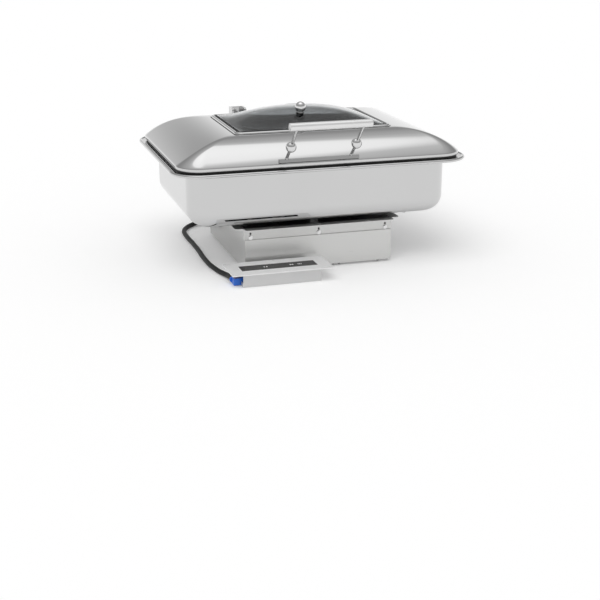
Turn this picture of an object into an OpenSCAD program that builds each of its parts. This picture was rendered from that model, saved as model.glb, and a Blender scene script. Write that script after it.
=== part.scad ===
// Induction food warmer: under-counter induction unit, star spacer, chafer with hinged lid,
// and a touch panel on a lead. Millimetres, X along the front, Y to the back, Z up, floor at 0.

/* [Induction unit] */
// Width of the top plate
plate_w = 300; // [270:1:330]
// Depth of the top plate
plate_d = 290; // [260:1:320]
// Thickness of the top plate
plate_t = 2; // [1.5:0.5:3]
// Gap round the top plate
plate_gap = 1; // [0.5:0.25:2]
// Sheet thickness of the mounting frame
sheet_t = 1.5; // [1:0.25:2.5]
// Height of the mounting frame
frame_h = 23; // [21:0.5:30]
// Width of the mounting flanges
flange_w = 17; // [14:1:30]
// Corner radius of each flange
flange_r = 6; // [2:1:7]
// Diameter of the flange holes
flange_hole_d = 4.2; // [3:0.2:6]
// Distance from the middle flange hole to the outer ones, front and back
flange_pitch_x = 100; // [60:1:110]
// Distance from the middle flange hole to the outer ones, left and right
flange_pitch_y = 96; // [60:1:105]
// Width of the ledge that carries the top plate
ledge_w = 6; // [4:1:9]
// Width of the folded lips between frame and housing
lip_w = 10; // [8:1:14]
// Height of the lower housing
housing_h = 62; // [56:1:90]
// Sheet thickness of the lower housing
housing_t = 1.2; // [0.8:0.2:2]
// How far the housing stands out past the frame, front and back
housing_proud = 3; // [2:0.5:6]
// How far the housing is set in from the frame, left and right
housing_inset = 1.5; // [0:0.5:3]
// Height of the feet
foot_h = 5; // [4:0.5:12]
// Diameter of the feet
foot_d = 18; // [12:1:30]
// Distance of the feet from the housing's sides
foot_inset = 38; // [25:1:50]
// Width of an adjustment slot
slot_w = 3.4; // [3.2:0.2:5]
// Height of an adjustment slot
slot_h = 13; // [8:1:15]
// Distance from the middle slot to the outer ones
slot_pitch = 139; // [100:1:140]

/* [Plate marks] */
// Width of an engraved line
mark_w = 1.2; // [0.6:0.2:2]
// Depth of an engraved line
mark_depth = 0.4; // [0.2:0.1:0.6]
// Inner radius of the radial lines
ray_in = 20; // [18:1:30]
// Outer radius of the radial lines
ray_out = 95; // [60:1:110]
// Distance of the outer edge marks from the middle, front and back
tick_x = 76; // [50:1:100]
// Distance of the outer edge marks from the middle, left and right
tick_y = 73; // [50:1:100]
// Length of the outer edge marks
tick_short = 32; // [15:1:35]
// Length of the middle edge marks
tick_long = 46; // [20:1:50]

/* [Sensor] */
// Diameter of the sensor cap
cap_d = 30; // [24:1:34]
// Height of the cap above the plate
cap_rise = 4; // [2.5:0.5:5]
// Clearance round the cap
cap_gap = 0.5; // [0.3:0.1:1]
// Diameter of the sensor stem
stem_d = 8; // [6:0.5:9]
// Wire space of the sensor spring, across its wall
spring_wall = 2; // [1:0.5:2.5]

/* [Coil and electronics] */
// Outer diameter of the coil winding
coil_d = 210; // [160:1:230]
// Inner diameter of the coil winding
coil_in_d = 52; // [46:1:70]
// Height of the coil winding
coil_h = 4; // [3:0.5:6]
// Thickness of the aluminium coil carrier
carrier_t = 2; // [1.5:0.5:3]
// Length of a ferrite bar
ferrite_l = 70; // [50:1:80]
// Height of a ferrite bar
ferrite_h = 5; // [4:0.5:6]
// Width of the power board
board_w = 200; // [160:1:230]
// Depth of the power board
board_d = 100; // [90:1:115]
// Thickness of the circuit boards
board_t = 1.6; // [1:0.2:2]
// Height of the board's standoffs
standoff_h = 8; // [5:1:12]
// Width of the fan
fan_w = 80; // [60:1:92]
// Height of the fan
fan_h = 25; // [20:1:30]
// Number of fan blades
fan_blades = 7; // [5:1:9]

/* [Star spacer] */
// Length of the two long bars
star_long = 454; // [380:1:460]
// Length of the short bar
star_short = 236; // [200:1:260]
// Width of the bars
star_bar_w = 16; // [12:1:24]
// Thickness of the spacer
star_t = 8; // [7:0.5:14]
// Angle of the long bars to the front
star_angle = 30; // [20:1:40]

/* [Chafer body] */
// Width of the body
body_w = 522; // [500:1:540]
// Depth of the body
body_d = 366; // [345:1:375]
// Height of the body up to the rim
body_h = 107; // [90:1:140]
// Radius of the body's upright corners
body_r = 50; // [40:1:60]
// Radius round the bottom
bottom_r = 31; // [15:1:34]
// Sheet thickness of body, lid and food pan
shell_t = 1.2; // [1:0.1:2]
// Width over the rim
rim_w = 592; // [584:1:620]
// Depth over the rim
rim_d = 430; // [410:1:440]
// Radius of the rim's corners
rim_r = 58; // [50:1:70]
// Height of the rim's rolled edge
roll_h = 6.5; // [5:0.5:9]
// Width from the rim's outer edge to the step that holds the food pan
land_w = 30; // [26:1:34]
// Depth of that step
step_h = 8; // [5:0.5:12]
// Thickness of the induction base
base_t = 3; // [2:0.5:6]
// Width of the induction base
base_w = 440; // [300:1:450]
// Depth of the induction base
base_d = 284; // [200:1:290]

/* [Food pan] */
// Width of the food pan over its flange
food_w = 530; // [526:1:536]
// Depth of the food pan over its flange
food_d = 325; // [320:1:330]
// Width of the food pan's flange
food_flange = 12.5; // [11:0.5:15]
// Depth of the food pan
food_h = 65; // [40:1:75]

/* [Lid] */
// Width of the lid's edge
lid_w = 568; // [560:1:574]
// Depth of the lid's edge
lid_d = 402; // [396:1:408]
// Corner radius of the lid's edge
lid_r = 46; // [38:1:52]
// Gap between rim land and lid edge
lid_gap = 4; // [3:0.5:6]
// Height of the lid's upright edge
skirt_h = 6; // [4:0.5:12]
// Height of the dome
dome_h = 45; // [40:1:48]
// How fast the dome flattens towards its top
dome_power = 2.2; // [1.8:0.1:2.6]
// Width of the seal under the lid
seal_w = 5; // [3:0.5:7]

/* [Window] */
// Width over the window frame
window_w = 318; // [280:1:340]
// Depth over the window frame
window_d = 217; // [190:1:225]
// How far the window lies in front of the lid's middle
window_front = 13.5; // [8:0.5:16]
// Width of the window frame's bead
bead_w = 8; // [6:0.5:10]
// Width of the rubber gasket
gasket_w = 3; // [2:0.5:4]
// Height of the rubber gasket
gasket_h = 3.2; // [2.5:0.1:4]
// Thickness of the glass
glass_t = 4; // [3:0.5:5]
// Crown of the glass in its middle
glass_crown = 28; // [20:1:30]
// Diameter of the ball knob on the glass
knob_d = 21.5; // [16:0.5:26]
// How far the knob stands in front of the glass's middle
knob_front = 50; // [30:1:60]
// How far the knob stands left of the glass's middle
knob_left = 13; // [0:1:24]

/* [Handle] */
// Length of the grip
grip_l = 158; // [150:1:200]
// Diameter of the grip
grip_d = 15; // [13:0.5:18]
// Wall of the grip's tube
grip_wall = 2; // [1.5:0.5:3]
// Distance between the two posts
post_pitch = 128; // [100:1:134]
// How far the handle's middle stands left of the lid's middle
handle_left = 16; // [0:1:24]
// Diameter of the posts
post_d = 6; // [5:0.5:8]
// Diameter of the balls on the posts
ball_d = 20; // [14:0.5:22]
// How far the grip's axis stands out in front of the lid's edge
grip_out = 67; // [62:1:72]
// Height of the grip's axis above the lid's upright edge
grip_up = 82; // [78:1:86]
// How far the balls stand out in front of the lid's edge
ball_out = 25; // [22:1:28]
// Height of the balls above the lid's upright edge
ball_up = 37; // [34:1:40]
// Height of the strip under the posts
strip_h = 6; // [5:0.5:8]
// Depth of the strip under the posts
strip_d = 7; // [6:0.5:10]

/* [Hinge] */
// Distance of each hinge from the middle
hinge_x = 65; // [60:1:120]
// Width of a hinge
hinge_w = 32; // [28:1:40]
// Distance of the hinge axis behind the rim
hinge_back = 17; // [16:1:20]
// Height of the hinge axis above the lid's upright edge
hinge_up = 10; // [8:0.5:12]
// Thickness of a hinge cheek
cheek_t = 4; // [3:0.5:5]
// Diameter of the hinge pins
pin_d = 6; // [5:0.5:8]
// Clearance of the pin in the lid's arm, all round
pin_gap = 0.2; // [0.1:0.05:0.3]
// Gap beside the lid's arm
arm_gap = 1; // [0.5:0.25:2]
// Radius of the arm's eye
eye_r = 8; // [7:0.5:9]

/* [Touch panel] */
// Width of the panel's plate
panel_w = 200; // [190:1:210]
// Depth of the panel's plate
panel_d = 82; // [78:1:84]
// Thickness of the panel's plate
panel_t = 2; // [1.5:0.5:3]
// Width of the box under the plate
box_w = 154; // [150:1:170]
// Depth of the box under the plate
box_d = 62; // [58:1:64]
// Height of the box's upper channel
channel_h = 17; // [15:1:30]
// Height of the box's lower tray
tray_h = 9; // [8:0.5:11]
// Width of the glass touch strip
touch_w = 150; // [120:1:152]
// Depth of the glass touch strip
touch_d = 32; // [26:1:36]
// Diameter of the panel's screw holes
panel_hole_d = 4.2; // [3:0.2:5]
// Distance of the screw holes from the plate's edges
panel_hole_in = 5; // [4:0.5:5]
// Width of the connector
plug_w = 20; // [16:1:24]
// Depth of the connector
plug_d = 18; // [14:1:20]
// Height of the connector
plug_h = 13; // [12:0.5:15]

/* [Control lead] */
// Diameter of the lead
lead_d = 10; // [10:0.5:10]

/* [Fits] */
// Gap between pieces that lift off each other
seat_gap = 0.2; // [0.1:0.05:0.3]
// Clearance round a screw's shank
screw_gap = 0.15; // [0.1:0.05:0.3]
// Gap between pieces that slip into each other
slip_gap = 0.3; // [0.2:0.05:0.5]

/* [Hidden] */
round_fn = 64;
cut = 1;

// Unit levels and outlines
z_frame = foot_h + housing_h;
z_top = z_frame + frame_h;
z_plate = z_top - plate_t;
opening_w = plate_w + 2 * plate_gap;
opening_d = plate_d + 2 * plate_gap;
frame_w = opening_w + 2 * sheet_t;
frame_d = opening_d + 2 * sheet_t;
housing_w = frame_w - 2 * housing_inset;
housing_d = frame_d + 2 * housing_proud;
lip_in_w = frame_w - 2 * lip_w;
lip_in_d = frame_d - 2 * lip_w;
cover_z = foot_h + housing_t;
carrier_z = z_frame + sheet_t;
carrier_room = 5;
ferrite_z = carrier_z + carrier_t;
coil_z = ferrite_z + ferrite_h;
mica_z = coil_z + coil_h;
mica_t = 0.8;
tab_w = 14;
tab_h = 10;
screw_z = z_frame + sheet_t + 3;
screw_d = slot_w - 2 * screw_gap;
head_d = 7;
head_h = 2.4;
washer_d = 9;
washer_t = 0.8;
nut_d = 6.4;
nut_h = 2.4;
bump_x = [-52, 31, 44, 126];
bump_d = 5.5;
bump_h = 3;
bump_in = 7;
lip_screw_in = 6;

// Sensor levels
cap_disc_h = 5;
cap_z = z_top - cap_disc_h;
guide_flange_t = 1.5;
guide_top = ferrite_z + guide_flange_t;
guide_len = 12;
guide_d = stem_d + 6;
stem_low = ferrite_z - guide_len - slip_gap;
clip_t = 1.5;
dome_r = (pow(cap_d / 2, 2) + pow(cap_rise, 2)) / (2 * cap_rise);

// Power board and fan places
board_x = 12;
board_y = 74.5 - housing_d / 2;
board_z = cover_z + standoff_h;
standoff_d = 8;
standoff_in = 8;
fan_x = -82;
fan_y = housing_d / 2 - 88.5;
fan_z = cover_z;
fan_bore = fan_w - 4;
hub_d = fan_w * 0.38;
shaft_d = 4;
grille_slot = 3;
grille_pitch = 7;

// Inlet and gland on the back wall
inlet_x = 95;
inlet_z = 36;
inlet_w = 28;
inlet_h = 20;
inlet_depth = 22;
inlet_flange = 5;
gland_x = -93;
gland_z = 34;
gland_nut = 17;
gland_len = 16;
gland_hole = 12;

// Chafer levels
z_star = z_top + seat_gap;
z_base = z_star + star_t + seat_gap;
z_body = z_base + base_t;
z_rim = z_body + body_h;
z_land = z_rim + roll_h - 1.5;
z_shelf = z_land - step_h;
gn_in_w = food_w - 2 * food_flange + 5;
gn_in_d = food_d - 2 * food_flange + 5;
gn_r = 24;
z_lid = z_land + lid_gap;
z_dome = z_lid + skirt_h;
z_crown = z_dome + dome_h;
win_in = bead_w + gasket_w;
glass_w = window_w - 2 * win_in - 2 * slip_gap;
glass_d = window_d - 2 * win_in - 2 * slip_gap;
glass_ledge = 5.7;
hole_w = glass_w - 2 * glass_ledge;
hole_d = glass_d - 2 * glass_ledge;
hole_r = 8;
crown_power = 2.4;
knob_u = knob_left / (glass_w / 2);
knob_v = knob_front / (glass_d / 2);
knob_slope = glass_crown * (1 - pow(knob_u, crown_power)) * crown_power * pow(knob_v, crown_power - 1) / (glass_d / 2);
knob_pad = 0.8;
pad_squeeze = 0.2;
dome_steps = 12;
skirt_y = lid_d / 2;
hinge_y = rim_d / 2 + hinge_back;
hinge_z = z_dome + hinge_up;
bracket_back = 15.5;
hinge_end = hinge_y + bracket_back;
bracket_top = hinge_z + 27;
bracket_low = z_rim - 10;
grip_y = -skirt_y - grip_out;
grip_z = z_dome + grip_up;
ball_y = -skirt_y - ball_out;
ball_z = z_dome + ball_up;
strip_z = z_dome + 3;
strip_y = -skirt_y;

// Middle of the whole object from front to back, measured from the middle of the unit
mid_y = -(grip_y - grip_d / 2 + hinge_end) / 2;

// Touch panel place: its left front corner, standing on the floor in front of the unit
panel_x = -200;
panel_y = -245.5;
panel_top = tray_h + channel_h + panel_t;
box_x = panel_x + (panel_w - box_w) / 2;
box_y = panel_y + (panel_d - box_d) / 2;
tray_extra = 1;
plug_x = box_x - 15;
plug_y = box_y + 14;
plug_z = 1.5;
sleeve_l = 3;
lead_end = [plug_x + 2, plug_y + plug_d + sleeve_l, plug_z + 6.5];

// Route of the control lead, from the gland round the left of the unit to the connector
lead_route = [
    [-93, 170, 34], [-93, 184, 34], [-94, 198, 32], [-99, 211, 28], [-109, 222, 22], [-123, 230, 16], [-139, 234, 11],
    [-156, 233, 8], [-172, 226, 6], [-186, 214, 5], [-196, 198, 5], [-203, 180, 5], [-206, 160, 5], [-207, 136, 5],
    [-207, 110, 5], [-206, 84, 5], [-206, 56, 5], [-206, 28, 5], [-207, 0, 5], [-208, -28, 5], [-208, -56, 5],
    [-207, -84, 5], [-204, -110, 5], [-200, -134, 5], [-195, -156, 6],
    lead_end + [-1, 26.5, -1], lead_end + [0, 10.5, 0], lead_end
];

// Flat outline with round corners
module round_rect(w, d, r) {
    square([w - 2 * r, d], center = true);
    square([w, d - 2 * r], center = true);
    for (x = [-1, 1], y = [-1, 1])
        translate([x * (w / 2 - r), y * (d / 2 - r)]) circle(r = r, $fn = round_fn);
}

// Slab with round corners
module slab(w, d, r, z, h) {
    translate([0, 0, z]) linear_extrude(h) round_rect(w, d, r);
}

// Flat ring between two outlines with round corners
module ring(w, d, r, w2, d2, r2, z, h) {
    translate([0, 0, z]) linear_extrude(h) difference() {
        round_rect(w, d, r);
        round_rect(w2, d2, r2);
    }
}

// A section carried round an outline with round corners; its x is measured out from the corner's centre
module sweep_rect(w, d, r) {
    for (i = [0 : 3]) {
        sx = i == 0 || i == 3 ? 1 : -1;
        sy = i < 2 ? 1 : -1;
        run = i % 2 == 0 ? d - 2 * r : w - 2 * r;
        out = i % 2 == 0 ? w / 2 - r : d / 2 - r;
        translate([sx * (w / 2 - r), sy * (d / 2 - r), 0]) rotate([0, 0, i * 90])
            rotate_extrude(angle = 90, $fn = round_fn) children();
        rotate([0, 0, i * 90]) translate([out, run / 2, 0]) rotate([90, 0, 0])
            linear_extrude(run) children();
    }
}

// Four copies at the corners of a rectangle
module at_corners(w, d) {
    for (x = [-1, 1], y = [-1, 1]) translate([x * w / 2, y * d / 2, 0]) children();
}

// Open pan: walls, round bottom edge and floor; the floor's underside is at z
module pan_shell(w, d, r, edge_r, z, h, t) {
    sweep_rect(w, d, r) union() {
        translate([r - t, z + edge_r]) square([t, h - edge_r]);
        intersection() {
            translate([r - edge_r, z + edge_r]) difference() {
                circle(r = edge_r, $fn = round_fn);
                circle(r = edge_r - t, $fn = round_fn);
            }
            translate([r - edge_r, z]) square([edge_r, edge_r]);
        }
    }
    slab(w - 2 * edge_r, d - 2 * edge_r, r - edge_r, z, t);
}

// Induction unit

// Where the adjustment screws stand: front and back walls
module at_slots() {
    for (turn = [0, 180], x = [-slot_pitch, 0, slot_pitch])
        rotate([0, 0, turn]) translate([x, -frame_d / 2, 0]) children();
}

module lower_housing() {
    color([0.66, 0.66, 0.65]) difference() {
        union() {
            difference() {
                translate([0, 0, foot_h + housing_h / 2]) cube([housing_w, housing_d, housing_h], center = true);
                translate([0, 0, foot_h + housing_h / 2])
                    cube([housing_w - 2 * housing_t, housing_d - 2 * housing_t, housing_h + cut], center = true);
            }
            for (z = [cover_z, z_frame - housing_t]) translate([0, 0, z]) linear_extrude(housing_t) difference() {
                square([housing_w - housing_t, housing_d - housing_t], center = true);
                square([lip_in_w, lip_in_d], center = true);
            }
            at_slots() translate([-tab_w / 2, sheet_t, z_frame - housing_t])
                cube([tab_w, housing_t, tab_h + housing_t]);
        }
        at_slots() translate([0, sheet_t - cut, screw_z]) rotate([-90, 0, 0])
            cylinder(d = screw_d + 2 * screw_gap, h = housing_t + 2 * cut, $fn = round_fn);
        translate([inlet_x - inlet_w / 2, housing_d / 2 - 2 * housing_t, inlet_z - inlet_h / 2])
            cube([inlet_w, 3 * housing_t, inlet_h]);
        translate([gland_x, housing_d / 2 - 2 * housing_t, gland_z]) rotate([-90, 0, 0])
            cylinder(d = gland_hole, h = 3 * housing_t, $fn = round_fn);
    }
}

module bottom_cover() {
    grille_n = floor((fan_bore / 2 - 2 * grille_slot) / grille_pitch);
    color([0.6, 0.6, 0.6]) difference() {
        translate([0, 0, foot_h + housing_t / 2])
            cube([housing_w - 2 * housing_t - 1, housing_d - 2 * housing_t - 1, housing_t], center = true);
        for (i = [-grille_n : grille_n]) {
            half = sqrt(pow(fan_bore / 2 - grille_slot, 2) - pow(i * grille_pitch, 2));
            translate([fan_x - half, fan_y + i * grille_pitch - grille_slot / 2, foot_h - cut])
                cube([2 * half, grille_slot, housing_t + 2 * cut]);
        }
        at_corners(housing_w - 2 * lip_screw_in, housing_d - 2 * lip_screw_in) translate([0, 0, foot_h - cut])
            cylinder(d = 3 + 2 * screw_gap, h = housing_t + 2 * cut, $fn = round_fn);
        for (x = bump_x) translate([x, bump_in - housing_d / 2, foot_h - cut])
            cylinder(d = 3 + 2 * screw_gap, h = housing_t + 2 * cut, $fn = round_fn);
    }
}

// Pan-head screw pointing up, its head's top at z
module cover_screw(z, d, h) {
    translate([0, 0, z - h]) cylinder(d = d, h = h, $fn = round_fn);
    translate([0, 0, z - h / 2]) cylinder(d = 3, h = h / 2 + housing_t - 0.1, $fn = round_fn);
}

module cover_screws() {
    color([0.25, 0.25, 0.26]) {
        at_corners(housing_w - 2 * lip_screw_in, housing_d - 2 * lip_screw_in) cover_screw(foot_h, bump_d, 2);
        for (x = bump_x) translate([x, bump_in - housing_d / 2, 0]) cover_screw(foot_h, bump_d, bump_h);
    }
}

module rubber_feet() {
    color([0.1, 0.1, 0.1]) at_corners(housing_w - 2 * foot_inset, housing_d - 2 * foot_inset) {
        cylinder(d1 = foot_d - 2, d2 = foot_d, h = 1, $fn = round_fn);
        translate([0, 0, 1]) cylinder(d = foot_d, h = foot_h - 1, $fn = round_fn);
    }
}

// Outward flange along +X, its inner edge on x = 0
module flange_shape(len) {
    square([flange_w - flange_r, len], center = false);
    translate([0, flange_r]) square([flange_w, len - 2 * flange_r]);
    for (y = [flange_r, len - flange_r]) translate([flange_w - flange_r, y]) circle(r = flange_r, $fn = round_fn);
}

module mounting_frame() {
    color([0.82, 0.82, 0.82]) difference() {
        union() {
            translate([0, 0, z_frame]) linear_extrude(frame_h) difference() {
                square([frame_w, frame_d], center = true);
                square([opening_w, opening_d], center = true);
            }
            translate([0, 0, z_frame]) linear_extrude(sheet_t) difference() {
                square([frame_w, frame_d], center = true);
                square([lip_in_w, lip_in_d], center = true);
            }
            translate([0, 0, z_plate - sheet_t]) linear_extrude(sheet_t) difference() {
                square([frame_w, frame_d], center = true);
                square([opening_w - 2 * ledge_w, opening_d - 2 * ledge_w], center = true);
            }
            translate([0, 0, z_top - sheet_t]) linear_extrude(sheet_t) for (side = [0, 180]) {
                rotate([0, 0, side]) translate([frame_w / 2, -frame_d / 2]) flange_shape(frame_d);
                rotate([0, 0, side + 90]) translate([frame_d / 2, -frame_w / 2]) flange_shape(frame_w);
            }
        }
        at_slots() {
            translate([-tab_w / 2 - 0.5, sheet_t, z_frame - cut])
                cube([tab_w + 1, housing_t + 0.5, sheet_t + 2 * cut]);
            translate([0, -cut, screw_z]) rotate([-90, 0, 0])
                cylinder(d = slot_w, h = sheet_t + 2 * cut, $fn = round_fn);
            translate([-slot_w / 2, -cut, screw_z]) cube([slot_w, sheet_t + 2 * cut, slot_h - slot_w]);
        }
        for (side = [-1, 1], step = [-1, 0, 1]) {
            translate([side * (frame_w + flange_w) / 2, step * flange_pitch_y, z_top - sheet_t - cut])
                cylinder(d = flange_hole_d, h = sheet_t + 2 * cut, $fn = round_fn);
            translate([step * flange_pitch_x, side * (frame_d + flange_w) / 2, z_top - sheet_t - cut])
                cylinder(d = flange_hole_d, h = sheet_t + 2 * cut, $fn = round_fn);
        }
    }
}

// Screw with washer outside the wall and its nut behind the housing's tab
module frame_screws() {
    inside = sheet_t + housing_t;
    color([0.85, 0.85, 0.86]) at_slots() translate([0, 0, screw_z]) rotate([-90, 0, 0]) {
        translate([0, 0, -washer_t]) cylinder(d = washer_d, h = washer_t, $fn = round_fn);
        translate([0, 0, -washer_t - head_h]) cylinder(d = head_d, h = head_h, $fn = round_fn);
        translate([0, 0, -washer_t]) cylinder(d = screw_d, h = washer_t + inside + nut_h / 2, $fn = round_fn);
        translate([0, 0, inside]) cylinder(d = nut_d, h = nut_h, $fn = 6);
    }
}

module engraving(x, y, len, turn) {
    translate([x, y, z_top - mark_depth]) rotate([0, 0, turn]) translate([0, -mark_w / 2, 0])
        cube([len, mark_w, mark_depth + cut]);
}

module top_plate() {
    side_start = 7;
    back_y = plate_d / 2 - 1.2 * tick_short;
    color([0.86, 0.86, 0.86]) difference() {
        slab(plate_w, plate_d, 3, z_plate, plate_t);
        translate([0, 0, z_plate - cut])
            cylinder(d = cap_d + 2 * cap_gap, h = plate_t + 2 * cut, $fn = round_fn);
        for (i = [0 : 7]) engraving(ray_in * cos(22.5 + 45 * i), ray_in * sin(22.5 + 45 * i), ray_out - ray_in,
            22.5 + 45 * i);
        for (side = [-1, 1]) {
            for (step = [-1, 0, 1]) {
                len = step == 0 ? tick_long : tick_short;
                engraving(side * (plate_w / 2 - side_start), step * tick_y, len, side > 0 ? 180 : 0);
                engraving(step * tick_x, -plate_d / 2 - cut, len, 90);
            }
            engraving(side * tick_x, back_y, tick_short * 1.2 + cut, 90);
        }
        engraving(-tick_x, back_y, 2 * tick_x, 0);
    }
}

// Sensor: a sprung cap that the counter or a pan presses down

module sensor_cap() {
    pocket_r = stem_d / 2 + spring_wall + 2;
    color([0.5, 0.5, 0.5]) difference() {
        union() {
            translate([0, 0, cap_z]) cylinder(d = cap_d, h = cap_disc_h, $fn = round_fn);
            intersection() {
                translate([0, 0, z_top + cap_rise - dome_r]) sphere(r = dome_r, $fn = 2 * round_fn);
                translate([0, 0, z_top]) cylinder(d = cap_d, h = cap_rise + cut, $fn = round_fn);
            }
            translate([0, 0, stem_low]) cylinder(d = stem_d, h = cap_z - stem_low + cut, $fn = round_fn);
            translate([0, 0, stem_low - clip_t]) cylinder(d = stem_d + 4, h = clip_t, $fn = round_fn);
        }
        translate([0, 0, cap_z - cut]) difference() {
            cylinder(r = pocket_r, h = 2 + cut, $fn = round_fn);
            translate([0, 0, -cut]) cylinder(d = stem_d, h = 4 + 2 * cut, $fn = round_fn);
        }
    }
}

module sensor_guide() {
    color([0.75, 0.75, 0.72]) difference() {
        union() {
            translate([0, 0, ferrite_z]) cylinder(d = guide_d + 8, h = guide_flange_t, $fn = round_fn);
            translate([0, 0, ferrite_z - guide_len]) cylinder(d = guide_d, h = guide_len + cut, $fn = round_fn);
        }
        translate([0, 0, ferrite_z - guide_len - cut])
            cylinder(d = stem_d + 2 * slip_gap, h = guide_len + guide_flange_t + 3 * cut, $fn = round_fn);
    }
}

module sensor_spring() {
    inner = stem_d / 2 + slip_gap;
    color([0.7, 0.7, 0.7]) translate([0, 0, guide_top]) difference() {
        cylinder(r = inner + spring_wall, h = cap_z + 2 - guide_top, $fn = round_fn);
        translate([0, 0, -cut]) cylinder(r = inner, h = cap_z + 4 - guide_top + cut, $fn = round_fn);
    }
}

// Coil stack

module coil_carrier() {
    color([0.72, 0.73, 0.75]) difference() {
        translate([0, 0, carrier_z + carrier_t / 2])
            cube([opening_w - 2 * carrier_room, opening_d - 2 * carrier_room, carrier_t], center = true);
        translate([0, 0, carrier_z - cut])
            cylinder(d = guide_d + 2 * screw_gap, h = carrier_t + 2 * cut, $fn = round_fn);
        for (turn = [0 : 90 : 270]) rotate([0, 0, turn]) translate([95, 95, carrier_z - cut])
            cylinder(d = 30, h = carrier_t + 2 * cut, $fn = round_fn);
    }
}

module ferrite_bars() {
    color([0.18, 0.18, 0.2]) for (turn = [0 : 45 : 315]) rotate([0, 0, turn])
        translate([coil_in_d / 2 + 2, -7, ferrite_z]) cube([ferrite_l, 14, ferrite_h]);
}

module coil_winding() {
    color([0.72, 0.42, 0.2]) translate([0, 0, coil_z]) difference() {
        cylinder(d = coil_d, h = coil_h, $fn = 2 * round_fn);
        translate([0, 0, -cut]) cylinder(d = coil_in_d, h = coil_h + 2 * cut, $fn = round_fn);
    }
}

module mica_sheet() {
    color([0.85, 0.8, 0.68]) translate([0, 0, mica_z]) difference() {
        cylinder(d = coil_d + 8, h = mica_t, $fn = 2 * round_fn);
        translate([0, 0, -cut]) cylinder(d = coil_in_d - 6, h = mica_t + 2 * cut, $fn = round_fn);
    }
}

// Electronics

module power_board() {
    color([0.12, 0.4, 0.2]) difference() {
        translate([board_x - board_w / 2, board_y - board_d / 2, board_z]) cube([board_w, board_d, board_t]);
        translate([board_x, board_y, 0]) at_corners(board_w - 2 * standoff_in, board_d - 2 * standoff_in)
            translate([0, 0, board_z - cut]) cylinder(d = 3.2, h = board_t + 2 * cut, $fn = round_fn);
    }
}

module board_standoffs() {
    color([0.8, 0.7, 0.35]) translate([board_x, board_y, 0])
        at_corners(board_w - 2 * standoff_in, board_d - 2 * standoff_in) difference() {
            translate([0, 0, cover_z]) cylinder(d = standoff_d, h = standoff_h, $fn = round_fn);
            translate([0, 0, cover_z + 2]) cylinder(d = 2.5, h = standoff_h, $fn = round_fn);
        }
}

module heat_sink() {
    sink_w = 90;
    sink_d = 48;
    fins = 10;
    fin_t = 2;
    color([0.7, 0.71, 0.73]) translate([board_x - 70, board_y - 18, board_z + board_t]) {
        cube([sink_w, sink_d, 5]);
        for (i = [0 : fins - 1]) translate([i * (sink_w - fin_t) / (fins - 1), 0, 4]) cube([fin_t, sink_d, 22]);
    }
}

module capacitors() {
    color([0.15, 0.2, 0.35]) translate([board_x, board_y, board_z + board_t]) {
        translate([42, 24, 0]) cylinder(d = 28, h = 30, $fn = round_fn);
        translate([76, 24, 0]) cylinder(d = 28, h = 30, $fn = round_fn);
        translate([40, -16, 0]) cylinder(d = 16, h = 22, $fn = round_fn);
    }
}

module terminal_block() {
    color([0.2, 0.45, 0.3]) translate([board_x + 58, board_y - 34, board_z + board_t]) difference() {
        cube([30, 16, 16]);
        for (i = [0 : 2]) {
            translate([5 + 10 * i, 8, 6]) cylinder(d = 4.5, h = 12, $fn = round_fn);
            translate([5 + 10 * i, -cut, 5]) rotate([-90, 0, 0]) cylinder(d = 5, h = 6 + cut, $fn = round_fn);
        }
    }
}

module fan_housing() {
    rib_h = 3;
    color([0.08, 0.08, 0.09]) translate([fan_x, fan_y, fan_z]) {
        difference() {
            slab(fan_w, fan_w, 4, 0, fan_h);
            translate([0, 0, -cut]) cylinder(d = fan_bore, h = fan_h + 2 * cut, $fn = 2 * round_fn);
            at_corners(fan_w - 9, fan_w - 9) translate([0, 0, -cut])
                cylinder(d = 3.2, h = fan_h + 2 * cut, $fn = round_fn);
        }
        for (turn = [45 : 90 : 315]) rotate([0, 0, turn]) translate([hub_d / 2 - 2, -2, 0])
            cube([fan_bore / 2 - hub_d / 2 + 3, 4, rib_h]);
        cylinder(d = hub_d, h = rib_h, $fn = round_fn);
        cylinder(d = shaft_d, h = fan_h - 8.5, $fn = round_fn);
    }
}

module fan_rotor() {
    low = 4.5;
    hub_h = fan_h - 7 - low;
    tip = fan_bore / 2 - 2;
    color([0.14, 0.14, 0.15]) translate([fan_x, fan_y, fan_z + low]) difference() {
        union() {
            cylinder(d = hub_d, h = hub_h, $fn = round_fn);
            intersection() {
                for (i = [0 : fan_blades - 1]) rotate([0, 0, i * 360 / fan_blades])
                    translate([hub_d / 2 - 3, 0, hub_h / 2]) rotate([38, 0, 0])
                        cube([fan_bore / 2, 1.6, hub_h], center = false);
                cylinder(r = tip, h = hub_h, $fn = 2 * round_fn);
            }
        }
        translate([0, 0, -cut]) cylinder(d = shaft_d + 2 * slip_gap, h = hub_h, $fn = round_fn);
    }
}

// Appliance inlet: a shroud open to the back, with three pins
module mains_inlet() {
    wall = 2.5;
    color([0.07, 0.07, 0.07]) translate([inlet_x, housing_d / 2, inlet_z]) difference() {
        union() {
            translate([-inlet_w / 2 + screw_gap, -inlet_depth, -inlet_h / 2 + screw_gap])
                cube([inlet_w - 2 * screw_gap, inlet_depth + cut, inlet_h - 2 * screw_gap]);
            translate([-inlet_w / 2 - inlet_flange, 0, -inlet_h / 2 - inlet_flange])
                cube([inlet_w + 2 * inlet_flange, 3, inlet_h + 2 * inlet_flange]);
        }
        translate([-inlet_w / 2 + wall, -inlet_depth + 4, -inlet_h / 2 + wall])
            cube([inlet_w - 2 * wall, inlet_depth + 4, inlet_h - 2 * wall]);
        for (x = [-7, 0, 7]) translate([x - 1, -inlet_depth - cut, x == 0 ? 1 : -3]) cube([2, 6, 4]);
    }
}

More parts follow.
